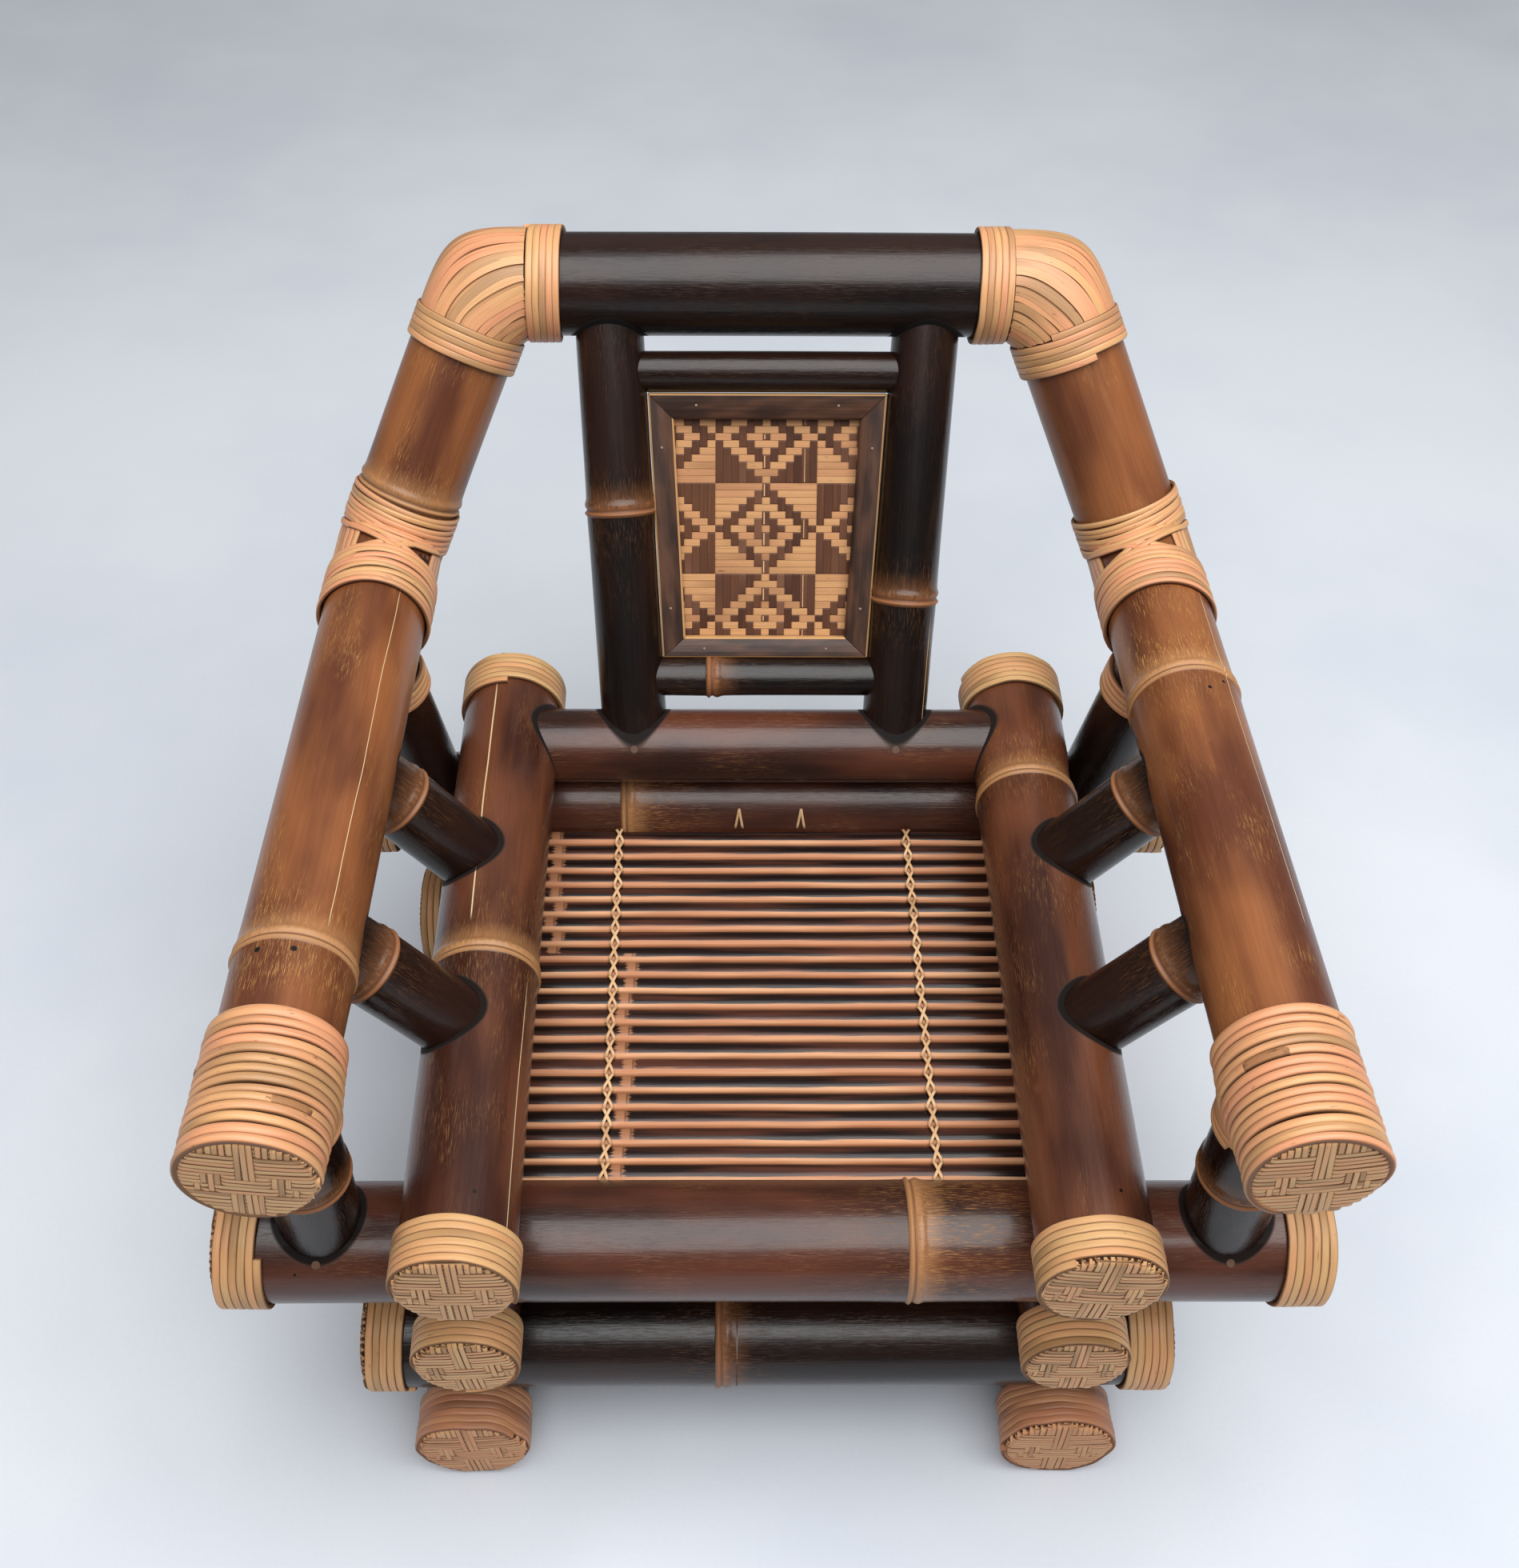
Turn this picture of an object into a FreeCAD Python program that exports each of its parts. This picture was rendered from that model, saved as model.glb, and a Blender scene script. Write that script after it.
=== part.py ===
# Bamboo armchair: dark lacquered culms stacked crosswise, bound with rattan at every end.
# Millimetres. X runs to the sitter's left, Y to the back, Z up. The origin is the middle of the footprint.
import FreeCAD
import Part
import math
import os

from FreeCAD import Vector

os.makedirs("parts", exist_ok=True)

# Culm sizes
footRailRadius = 40.0
lowerCrossRadius = 41.0
spacerRadius = 36.0
crossRadius = 41.5
sideRailRadius = 39.0
seatBackRailRadius = 30.0
topRailRadius = 39.0
armRadius = 39.5
backPostRadius = 26.0
backBarRadius = 16.0
frontPostRadius = 29.0
rearPostRadius = 27.0
strutRadius = 27.0
culmWall = 8.0
postWall = 5.0

# Nodes of the culms: a raised ring with a shallow slope to each side
nodeRise = 1.8
nodeReach = 6.0
frontPostNode = 92.0
strutNodeFromHead = 58.0
leftBackPostNode = 122.0
rightBackPostNode = 192.0
lowerBarNode = 63.0
footRailNodes = (210.0, 400.0)
spacerNode = 290.0
lowerFrontNode = 265.0
lowerRearNode = 350.0
frontCrossNode = 476.0
rearCrossNode = 225.0
rightSideRailNode = 245.0
leftSideRailNode = 420.0
rightArmNode = 148.0
leftArmNode = 395.0

# Fits
seatGap = 0.3
socketDepth = 60.0

# Lengths and places, front to back
# The top rail overhangs the back ends of the side rails, and the lengths of those follow from that
overallDepth = 724.0
backOverhang = 174.0
sideRailSpread = 209.0
spacerSetback = 22.0
spacerRearSetback = 6.0
spacerSpread = 219.0
footRailSetback = 28.0
footRailSpread = 229.0
frontCrossSetback = 77.5
rearCrossSetback = 53.5
lowerCrossSetback = 86.0
seatBackRailSetback = 66.0

# Lengths and places, side to side
frontCrossHalf = 385.0
rearCrossHalf = 345.0
lowerCrossHalf = 306.0

# Upper frame, heights above the axis of the seat side rails
armFrontRise = 134.0
kneeRise = 129.0
topRailRise = 310.0
armFrontSpread = 316.0
armFrontSetback = 4.0
kneeSpread = 302.0
kneeToTopRail = 97.0
elbowSpread = 217.0

# Posts and struts
frontPostFootSpread = 312.0
frontPostHeadSetback = 77.0
rearPostFootSpread = 275.0
rearPostHeadToKnee = 108.0
strutPlaces = (-164.5, -13.5)
backPostFootSpread = 105.5
backPostHeadSpread = 124.0
upperBarDrop = 65.4
lowerBarPlace = 58.5

# Backrest panel
frameDepth = 12.0
frameTopWidth = 20.0
frameSideWidth = 19.0
frameBottomWidth = 16.0
frameBevel = 3.0
panelThickness = 3.0
panelTuck = 6.0

# Seat mat
slatCount = 22
slatThickness = 6.0
slatSkin = 2.4
slatHalfLength = 205.0
matRise = 10.0
slatSpacing = 1.0
bearerRadius = 6.0
bearerBite = 14.0
bearerPlaces = (-120.0, -28.5, 28.5, 120.0)
tiePlaces = (-120.0, 120.0)
tieWidth = 5.0
tieThickness = 1.4

# Rattan bindings and woven caps
strandWidth = 5.8
strandThickness = 3.4
strandGap = 0.7
endStrands = 5
footStrandWidth = 5.4
footStrandThickness = 4.6
footStrands = 6
armStrandWidth = 6.4
armStrandThickness = 5.0
armStrands = 6
strandSides = 6
strandTwistRoom = 0.1
capThickness = 3.0
flatShare = 0.1
elbowRingOffset = 33.0
elbowArmRingOffset = 31.5
elbowThickness = 4.2
kneeCoverThickness = 3.6
kneeSaddleThickness = 4.5
kneeRearBandOffset = 42.0
kneeSaddleOffset = 62.0
kneeSaddleLength = 54.0
armSaddleLength = 50.0
collarLength = 24.0
collarThickness = 5.0

# Pegs and dowels
pegRadius = 3.0
pegLength = 24.0
pegStand = 0.5
pegLean = 40.0
crossDowelRadius = 7.0
crossDowelBite = 16.0

# Heights of the stacked culms
strandStand = strandThickness / 2 + strandWidth * strandTwistRoom
footStrandStand = footStrandThickness / 2 + footStrandWidth * strandTwistRoom
armStrandStand = armStrandThickness / 2 + armStrandWidth * strandTwistRoom
bindingThickness = seatGap + strandStand + strandThickness / 2
footBindingThickness = seatGap + footStrandStand + footStrandThickness / 2
armBindingThickness = seatGap + armStrandStand + armStrandThickness / 2
footRailZ = footRailRadius + footBindingThickness - flatShare * footStrandThickness
lowerCrossZ = footRailZ + footRailRadius + seatGap + lowerCrossRadius
spacerZ = lowerCrossZ + lowerCrossRadius + seatGap + spacerRadius
crossZ = spacerZ + spacerRadius + seatGap + crossRadius
sideRailZ = crossZ + crossRadius + seatGap + sideRailRadius

# Places along Y, from the front face of the side rails
frontFace = -overallDepth / 2
sideRailFront = frontFace + capThickness + seatGap
sideRailBack = sideRailFront + overallDepth - backOverhang
frontCrossY = sideRailFront + frontCrossSetback
rearCrossY = sideRailBack - rearCrossSetback
lowerFrontCrossY = sideRailFront + lowerCrossSetback
lowerRearCrossY = rearCrossY
seatBackRailY = sideRailBack - seatBackRailSetback
elbowRadius = topRailRadius + elbowThickness
topRailY = overallDepth / 2 - elbowRadius
kneeY = topRailY - kneeToTopRail
armFrontY = sideRailFront + armFrontSetback
armWindingLength = (armStrandWidth + strandGap) * armStrands


# A culm along Z from the origin, with its raised nodes and an open bore
def ringCulm(radius, length, wall, nodes=()):
    outline = [Vector(radius - wall, 0, 0), Vector(radius, 0, 0)]
    for place in nodes:
        outline.append(Vector(radius, 0, place - nodeReach))
        outline.append(Vector(radius + nodeRise, 0, place))
        outline.append(Vector(radius, 0, place + nodeReach))
    outline.append(Vector(radius, 0, length))
    outline.append(Vector(radius - wall, 0, length))
    outline.append(outline[0])
    section = Part.Face(Part.makePolygon(outline))
    return section.revolve(Vector(0, 0, 0), Vector(0, 0, 1), 360)


# Moves a shape built along Z so that it runs from start towards end
def between(shape, start, end):
    turn = FreeCAD.Rotation(Vector(0, 0, 1), end - start)
    placed = shape.copy()
    placed.Placement = FreeCAD.Placement(start, turn)
    return placed


def culmBetween(radius, start, end, wall, nodes=()):
    return between(ringCulm(radius, start.distanceToPoint(end), wall, nodes), start, end)


def rod(radius, start, end):
    return Part.makeCylinder(radius, start.distanceToPoint(end), start, end - start)


# A band of rattan round a culm, clear of its skin by the seat gap
def sleeve(radius, thickness, start, end):
    outer = rod(radius + thickness, start, end)
    return outer.cut(rod(radius + seatGap, start, end))


def along(start, end, distance):
    direction = (end - start).normalize()
    return start + direction * distance


# Removes everything on the side of the plane that the normal points to
def trim(shape, point, normal):
    reach = overallDepth
    block = Part.makeBox(2 * reach, 2 * reach, reach, Vector(-reach, -reach, 0))
    block.Placement = FreeCAD.Placement(point, FreeCAD.Rotation(Vector(0, 0, 1), normal))
    return shape.cut(block)


def sides():
    return (-1, "right"), (1, "left")


def write(name, shapes):
    if not isinstance(shapes, (list, tuple)):
        shapes = [shapes]
    solids = []
    for shape in shapes:
        for solid in shape.Solids:
            solids.append(solid)
    result = solids[0] if len(solids) == 1 else Part.makeCompound(solids)
    valid = all(solid.isValid() for solid in solids)
    print(name, "solids", len(solids), "valid", valid)
    result.exportStep("parts/" + name + ".step")


# Corner points of the upper frame
def armFront(side):
    return Vector(side * armFrontSpread, armFrontY, sideRailZ + armFrontRise)


def knee(side):
    return Vector(side * kneeSpread, kneeY, sideRailZ + kneeRise)


def elbow(side):
    return Vector(side * elbowSpread, topRailY, sideRailZ + topRailRise)


def railLine(side, spread, front, back, height):
    return Vector(side * spread, front, height), Vector(side * spread, back, height)


def crossLine(half, y, height):
    return Vector(-half, y, height), Vector(half, y, height)


spacerFront = sideRailFront + spacerSetback
spacerBack = sideRailBack - spacerRearSetback
footRailFront = sideRailFront + footRailSetback
footRailBack = lowerRearCrossY + lowerFrontCrossY - footRailFront

frontPostLine = {}
rearPostLine = {}
strutLines = {}
backPostLine = {}
for side, name in sides():
    armHead = armFront(side)
    armTail = knee(side)
    armRun = (armTail - armHead).normalize()
    frontHead = armHead + armRun * frontPostHeadSetback
    frontPostLine[side] = (Vector(side * frontPostFootSpread, frontCrossY, crossZ), frontHead)
    rearHead = armTail - armRun * rearPostHeadToKnee
    rearPostLine[side] = (Vector(side * rearPostFootSpread, rearCrossY, crossZ), rearHead)
    strutLines[side] = []
    for place in strutPlaces:
        share = (place - armHead.y) / (armTail.y - armHead.y)
        head = armHead + (armTail - armHead) * share
        foot = Vector(side * sideRailSpread, place, sideRailZ)
        strutLines[side].append((foot, head))
    backPostLine[side] = (
        Vector(side * backPostFootSpread, seatBackRailY, sideRailZ),
        Vector(side * backPostHeadSpread, topRailY, sideRailZ + topRailRise),
    )


# The drilled hole that takes one end of a post
def socket(line, radius, atStart):
    start, end = line if atStart else (line[1], line[0])
    return rod(radius + seatGap, start, along(start, end, socketDepth))


# Base: foot rails, lower cross rails, spacer rails
def buildBase():
    for side, name in sides():
        start, end = railLine(side, footRailSpread, footRailFront, footRailBack, footRailZ)
        rail = culmBetween(footRailRadius, start, end, culmWall, footRailNodes)
        write("foot_rail_" + name, rail.cut(crossDowelHoles()))
        start, end = railLine(side, spacerSpread, spacerFront, spacerBack, spacerZ)
        rail = culmBetween(spacerRadius, start, end, culmWall, (spacerNode,))
        write("spacer_rail_" + name, rail.cut(crossDowelHoles()))
    places = (("front", lowerFrontCrossY, lowerFrontNode), ("back", lowerRearCrossY, lowerRearNode))
    for name, y, node in places:
        rail = culmBetween(lowerCrossRadius, *lowerCrossEnds(y), culmWall, (node,))
        write("lower_cross_rail_" + name, rail.cut(crossDowelHoles()))


# Seat frame: the two wide cross rails and the two side rails on top of them
def lowerCrossEnds(y):
    return crossLine(lowerCrossHalf - capThickness - seatGap, y, lowerCrossZ)


def frontCrossEnds():
    return crossLine(frontCrossHalf - capThickness - seatGap, frontCrossY, crossZ)


def rearCrossEnds():
    return crossLine(rearCrossHalf - capThickness - seatGap, rearCrossY, crossZ)


def buildCrossRails():
    start, end = frontCrossEnds()
    rail = culmBetween(crossRadius, start, end, culmWall, (frontCrossNode,))
    for side, name in sides():
        rail = rail.cut(socket(frontPostLine[side], frontPostRadius, True))
    rail = rail.cut(crossDowelHoles()).cut(bearerHoles()).cut(pegHoles())
    write("front_cross_rail", rail)
    start, end = rearCrossEnds()
    rail = culmBetween(crossRadius, start, end, culmWall, (rearCrossNode,))
    for side, name in sides():
        rail = rail.cut(socket(rearPostLine[side], rearPostRadius, True))
    rail = rail.cut(crossDowelHoles()).cut(bearerHoles()).cut(pegHoles())
    write("rear_cross_rail", rail)


def seatBackRailHole():
    start = Vector(-sideRailSpread, seatBackRailY, sideRailZ)
    end = Vector(sideRailSpread, seatBackRailY, sideRailZ)
    return rod(seatBackRailRadius + seatGap, start, end)


def buildSideRails():
    for side, name in sides():
        start, end = railLine(side, sideRailSpread, sideRailFront, sideRailBack, sideRailZ)
        node = rightSideRailNode if side < 0 else leftSideRailNode
        rail = culmBetween(sideRailRadius, start, end, culmWall, (node,))
        rail = rail.cut(seatBackRailHole())
        for line in strutLines[side]:
            rail = rail.cut(socket(line, strutRadius, True))
        write("seat_side_rail_" + name, rail.cut(crossDowelHoles()))


def buildSeatBackRail():
    half = sideRailSpread - crossDowelRadius - 2 * seatGap
    start, end = crossLine(half, seatBackRailY, sideRailZ)
    rail = culmBetween(seatBackRailRadius, start, end, postWall)
    for side, name in sides():
        rail = rail.cut(socket(backPostLine[side], backPostRadius, True))
    write("seat_back_rail", rail.cut(pegHoles()))


# How far short of a corner two culms of one radius must end to clear each other
def cornerSetback(firstRun, secondRun, radius):
    turn = firstRun.getAngle(secondRun)
    return radius * math.tan(turn / 2) + seatGap


def frontArmRun(side):
    return (knee(side) - armFront(side)).normalize()


def rearArmRun(side):
    return (elbow(side) - knee(side)).normalize()


def railRun(side):
    return Vector(-side, 0, 0)


# Upper frame: the top rail and the two culms of each arm, cut square short of the corners
def buildUpperFrame():
    setback = cornerSetback(rearArmRun(1), railRun(1), armRadius)
    start, end = crossLine(elbowSpread - setback, topRailY, sideRailZ + topRailRise)
    rail = culmBetween(topRailRadius, start, end, culmWall)
    for side, name in sides():
        rail = rail.cut(socket(backPostLine[side], backPostRadius, False))
    write("top_rail", rail)
    for side, name in sides():
        kneeSetback = cornerSetback(frontArmRun(side), rearArmRun(side), armRadius)
        start = knee(side) + rearArmRun(side) * kneeSetback
        end = elbow(side) - rearArmRun(side) * setback
        write("arm_rear_" + name, culmBetween(armRadius, start, end, culmWall))
        node = rightArmNode if side < 0 else leftArmNode
        end = knee(side) - frontArmRun(side) * kneeSetback
        front = culmBetween(armRadius, armFront(side), end, culmWall, (node,))
        front = front.cut(socket(frontPostLine[side], frontPostRadius, False))
        front = front.cut(socket(rearPostLine[side], rearPostRadius, False))
        for line in strutLines[side]:
            front = front.cut(socket(line, strutRadius, False))
        write("arm_front_" + name, front)


# Posts and struts, each let into the culms that it joins
def letIn(line, radius, nodes=()):
    foot = along(line[0], line[1], seatGap)
    head = along(line[1], line[0], seatGap)
    return culmBetween(radius, foot, head, postWall, nodes)


def buildPosts():
    for side, name in sides():
        front = letIn(frontPostLine[side], frontPostRadius, (frontPostNode,))
        write("front_post_" + name, front.cut(pegHoles()))
        write("rear_post_" + name, letIn(rearPostLine[side], rearPostRadius).cut(pegHoles()))
        for line, place in zip(strutLines[side], ("front", "rear")):
            node = line[0].distanceToPoint(line[1]) - strutNodeFromHead
            write("arm_strut_" + place + "_" + name, letIn(line, strutRadius, (node,)))


# The plane of the back posts: s runs up it from the seat back rail, n stands out to the front
backFoot = Vector(0, seatBackRailY, sideRailZ)
backHead = Vector(0, topRailY, sideRailZ + topRailRise)
backLength = backFoot.distanceToPoint(backHead)
upperBarPlace = backLength - upperBarDrop
backTilt = math.degrees(math.atan2(backHead.z - backFoot.z, backHead.y - backFoot.y))
backPlacement = FreeCAD.Placement(backFoot, FreeCAD.Rotation(Vector(1, 0, 0), backTilt))


def backPostSpread(s):
    return backPostFootSpread + (backPostHeadSpread - backPostFootSpread) * s / backLength


def onBack(x, s, n):
    return backPlacement.multVec(Vector(x, s, n))


def backBarLine(place):
    return onBack(-backPostSpread(place), place, 0), onBack(backPostSpread(place), place, 0)


def buildBackrest():
    for side, name in sides():
        node = leftBackPostNode if side > 0 else rightBackPostNode
        post = letIn(backPostLine[side], backPostRadius, (node,))
        write("back_post_" + name, post.cut(pegHoles()))
    for name, place, nodes in (("upper", upperBarPlace, ()), ("lower", lowerBarPlace, (lowerBarNode,))):
        bar = culmBetween(backBarRadius, *backBarLine(place), postWall, nodes)
        for side, sideName in sides():
            bar = bar.cut(rod(backPostRadius + seatGap, *backPostLine[side]))
        write("backrest_" + name + "_bar", bar)


# Picture frame between the bars: four mitred strips with bevelled front edges
frameFoot = lowerBarPlace + backBarRadius + seatGap
frameHead = upperBarPlace - backBarRadius - seatGap
frameBack = -frameDepth / 2


def frameCorner(side, s, inset):
    return Vector(side * (backPostSpread(s) - backPostRadius - 2 * seatGap - inset), s, 0)


# One bevelled strip along an outer edge of the frame, cut to the mitre at both corners
def frameStrip(outer, inner, first, second):
    run = (outer[second] - outer[first]).normalize()
    lean = inner[first] - outer[first]
    across = lean - run * lean.dot(run)
    width = across.Length
    across = across.normalize()
    high = frameBack + frameDepth
    shoulder = high - frameBevel
    profile = [(0, frameBack), (0, shoulder), (frameBevel, high)]
    profile += [(width - frameBevel, high), (width, shoulder), (width, frameBack), (0, frameBack)]
    overrun = 2 * width
    base = outer[first] - run * overrun
    section = Part.makePolygon([base + across * u + Vector(0, 0, n) for u, n in profile])
    strip = Part.Face(section).extrude(run * (outer[first].distanceToPoint(outer[second]) + 2 * overrun))
    out = Vector(0, 0, 1)
    for corner, away in ((first, run * -1), (second, run)):
        normal = (inner[corner] - outer[corner]).cross(out).normalize()
        if normal.dot(away) < 0:
            normal = normal * -1
        strip = trim(strip, outer[corner], normal)
    return onBackPlane(strip)


def onBackPlane(shape):
    placed = shape.copy()
    placed.Placement = backPlacement
    return placed


# Room in the frame strips for a raised node of the culm beside them
def nodeRoom(line, radius, place):
    node = along(line[0], line[1], place)
    reach = nodeReach + seatGap
    return rod(radius + nodeRise + seatGap, along(node, line[0], reach), along(node, line[1], reach))


def frameNodeRooms():
    rooms = []
    for side, name in sides():
        place = leftBackPostNode if side > 0 else rightBackPostNode
        rooms.append(nodeRoom(backPostLine[side], backPostRadius, place + seatGap))
    rooms.append(nodeRoom(backBarLine(lowerBarPlace), backBarRadius, lowerBarNode))
    return Part.makeCompound(rooms)


def buildPanel():
    openingFoot = frameFoot + frameBottomWidth
    openingHead = frameHead - frameTopWidth
    outer = [frameCorner(-1, frameFoot, 0), frameCorner(1, frameFoot, 0)]
    outer += [frameCorner(1, frameHead, 0), frameCorner(-1, frameHead, 0)]
    inner = [frameCorner(-1, openingFoot, frameSideWidth), frameCorner(1, openingFoot, frameSideWidth)]
    inner += [frameCorner(1, openingHead, frameSideWidth), frameCorner(-1, openingHead, frameSideWidth)]
    for index, name in enumerate(("bottom", "left", "top", "right")):
        strip = frameStrip(outer, inner, index, (index + 1) % len(outer))
        write("panel_frame_" + name, strip.cut(frameNodeRooms()))
    down = Vector(0, 0, frameBack - seatGap - panelThickness)
    ring = []
    for rim, corner in zip(outer, inner):
        ring.append(corner + (rim - corner).normalize() * panelTuck + down)
    face = Part.Face(Part.makePolygon(ring + ring[:1]))
    write("woven_panel", onBackPlane(face.extrude(Vector(0, 0, panelThickness))))


# Seat mat: split slats side by side between the cross rails, on four rods let into them
matTop = crossZ + matRise
matReach = math.sqrt(crossRadius ** 2 - matRise ** 2) + nodeRise + seatGap
matFront = frontCrossY + matReach
matBack = rearCrossY - matReach
slatPitch = (matBack - matFront) / slatCount
slatWidth = slatPitch - slatSpacing
bearerZ = matTop - slatThickness - seatGap - bearerRadius


def buildSeat():
    slats = []
    for index in range(slatCount):
        middle = matFront + slatPitch * (index + 0.5)
        low = matTop - slatThickness
        left = Vector(-slatHalfLength, middle - slatWidth / 2, low)
        right = Vector(-slatHalfLength, middle + slatWidth / 2, low)
        leftTop = left + Vector(0, 0, slatSkin)
        rightTop = right + Vector(0, 0, slatSkin)
        crown = Vector(-slatHalfLength, middle, matTop)
        edges = [Part.makeLine(left, leftTop), Part.Arc(leftTop, crown, rightTop).toShape()]
        edges += [Part.makeLine(rightTop, right), Part.makeLine(right, left)]
        slats.append(Part.Face(Part.Wire(edges)).extrude(Vector(2 * slatHalfLength, 0, 0)))
    write("seat_slats", slats)
    write("seat_bearers", [bearerRod(x, bearerRadius) for x in bearerPlaces])
    ties = []
    for x in tiePlaces:
        corner = Vector(x - tieWidth / 2, matFront, matTop + seatGap)
        ties.append(Part.makeBox(tieWidth, matBack - matFront, tieThickness, corner))
    write("seat_ties", ties)


def bearerRod(x, radius):
    start = Vector(x, frontCrossY + crossRadius - bearerBite, bearerZ)
    end = Vector(x, rearCrossY - crossRadius + bearerBite, bearerZ)
    return rod(radius, start, end)


def bearerHoles():
    return Part.makeCompound([bearerRod(x, bearerRadius + seatGap) for x in bearerPlaces])


# Dowels that pin each culm of the stack to the one below it
def crossings():
    levels = (
        (footRailSpread, (lowerFrontCrossY, lowerRearCrossY), footRailZ + footRailRadius),
        (spacerSpread, (lowerFrontCrossY, lowerRearCrossY), lowerCrossZ + lowerCrossRadius),
        (spacerSpread, (frontCrossY, rearCrossY), spacerZ + spacerRadius),
        (sideRailSpread, (frontCrossY, rearCrossY), crossZ + crossRadius),
    )
    for spread, places, height in levels:
        for side, name in sides():
            for y in places:
                yield Vector(side * spread, y, height + seatGap / 2)


def crossDowel(point, radius):
    bite = Vector(0, 0, crossDowelBite)
    return rod(radius, point - bite, point + bite)


def crossDowelHoles():
    return Part.makeCompound([crossDowel(point, crossDowelRadius + seatGap) for point in crossings()])


# Pegs driven from the front through a culm's wall into the foot of a post
def pegLines():
    lean = math.radians(pegLean)
    out = Vector(0, -math.cos(lean), math.sin(lean))
    feet = []
    for side, name in sides():
        feet.append((frontPostLine[side][0], crossRadius))
        feet.append((rearPostLine[side][0], crossRadius))
        feet.append((backPostLine[side][0], seatBackRailRadius))
    for foot, radius in feet:
        yield foot + out * (radius + pegStand), foot + out * (radius + pegStand - pegLength)


def pegHoles():
    return Part.makeCompound([rod(pegRadius + seatGap, *line) for line in pegLines()])


def buildFastenings():
    write("crossing_dowels", [crossDowel(point, crossDowelRadius) for point in crossings()])
    write("post_pegs", [rod(pegRadius, *line) for line in pegLines()])


# A biarc: two arcs that leave one point and reach another along given directions
def biarc(start, startRun, end, endRun):
    gap = end - start
    runs = startRun + endRun
    spread = 2 * (1 - startRun.dot(endRun))
    reach = (math.sqrt(gap.dot(runs) ** 2 + spread * gap.dot(gap)) - gap.dot(runs)) / spread
    firstCorner = start + startRun * reach
    secondCorner = end - endRun * reach
    joint = (firstCorner + secondCorner) * 0.5
    return [arcPast(start, firstCorner, joint), arcPast(joint, secondCorner, end)]


def arcPast(start, corner, end):
    chord = (start + end) * 0.5
    reach = corner.distanceToPoint(start)
    cosine = start.distanceToPoint(chord) / reach
    rise = reach * (1 - cosine) / math.sqrt(1 - cosine ** 2)
    middle = corner + (chord - corner).normalize() * rise
    return Part.Arc(start, middle, end).toShape()


# One rattan strip wound round a culm, up Z, with straight ends as long as it is wide
def woundStrip(radius, turns, width, thickness, stand):
    pitch = width + strandGap
    centre = radius + seatGap + stand
    climb = pitch / (2 * math.pi)

    def place(angle):
        return Vector(centre * math.cos(angle), centre * math.sin(angle), width / 2 + climb * angle)

    def run(angle):
        return Vector(-centre * math.sin(angle), centre * math.cos(angle), climb).normalize()

    first = place(0) - run(0) * width
    edges = [Part.makeLine(first, place(0))]
    for half in range(2 * turns):
        low = math.pi * half
        high = low + math.pi
        edges += biarc(place(low), run(low), place(high), run(high))
    last = 2 * math.pi * turns
    edges.append(Part.makeLine(place(last), place(last) + run(last) * width))
    ahead = run(0)
    out = Vector(1, 0, 0)
    up = ahead.cross(out) * -1
    section = []
    for corner in range(strandSides):
        angle = 2 * math.pi * (corner + 0.5) / strandSides
        across = up * (width / 2 * math.cos(angle))
        section.append(first + across + out * (thickness / 2 * math.sin(angle)))
    spine = Part.Wire(edges)
    shell = Part.BRepOffsetAPI.MakePipeShell(spine)
    shell.add(Part.makePolygon(section + section[:1]), False, False)
    shell.build()
    shell.makeSolid()
    return shell.shape(), spine


# The least gap between a strip and its next turn, measured on points of its middle line
def printLeastGap(name, radius, kind):
    turns, width, thickness, stand = kind
    strip, spine = woundStrip(radius, *kind)
    perTurn = 36
    points = spine.discretize(perTurn * turns)
    least = min(
        points[first].distanceToPoint(points[second])
        for first in range(len(points))
        for second in range(first + perTurn // 2, len(points))
    )
    print(name, "least gap between turns", round(least - width, 2))


# Rattan bands round the culm ends, and the woven caps that close them
def railEnds(start, end, radius):
    run = (end - start).normalize()
    return ((start, run, radius), (end, run * -1, radius))


endStrip = (endStrands - 1, strandWidth, strandThickness, strandStand)
footStrip = (footStrands - 1, footStrandWidth, footStrandThickness, footStrandStand)
armStrip = (armStrands - 1, armStrandWidth, armStrandThickness, armStrandStand)


def winding(end, kind, offset=0.0):
    point, inward, radius = end
    strip, spine = woundStrip(radius, *kind)
    return between(strip, point + inward * offset, point + inward * (offset + 1))


def band(end, thickness, length, offset=0.0):
    point, inward, radius = end
    return sleeve(radius, thickness, point + inward * offset, point + inward * (offset + length))


def cap(end, thickness):
    point, inward, radius = end
    base = point - inward * seatGap
    return rod(radius + thickness, base, base - inward * capThickness)


def sideRailEnds():
    ends = []
    for side, name in sides():
        line = railLine(side, sideRailSpread, sideRailFront, sideRailBack, sideRailZ)
        ends += railEnds(*line, sideRailRadius)
    return ends


def spacerEnds():
    ends = []
    for side, name in sides():
        ends += railEnds(*railLine(side, spacerSpread, spacerFront, spacerBack, spacerZ), spacerRadius)
    return ends


def footEnds():
    ends = []
    for side, name in sides():
        line = railLine(side, footRailSpread, footRailFront, footRailBack, footRailZ)
        ends += railEnds(*line, footRailRadius)
    return ends


def crossEnds():
    return railEnds(*frontCrossEnds(), crossRadius) + railEnds(*rearCrossEnds(), crossRadius)


def lowerEnds():
    front = railEnds(*lowerCrossEnds(lowerFrontCrossY), lowerCrossRadius)
    return front + railEnds(*lowerCrossEnds(lowerRearCrossY), lowerCrossRadius)


# The feet are cut flat where they meet the floor
def onFloor(shape):
    return trim(shape, Vector(0, 0, 0), Vector(0, 0, -1))


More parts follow.
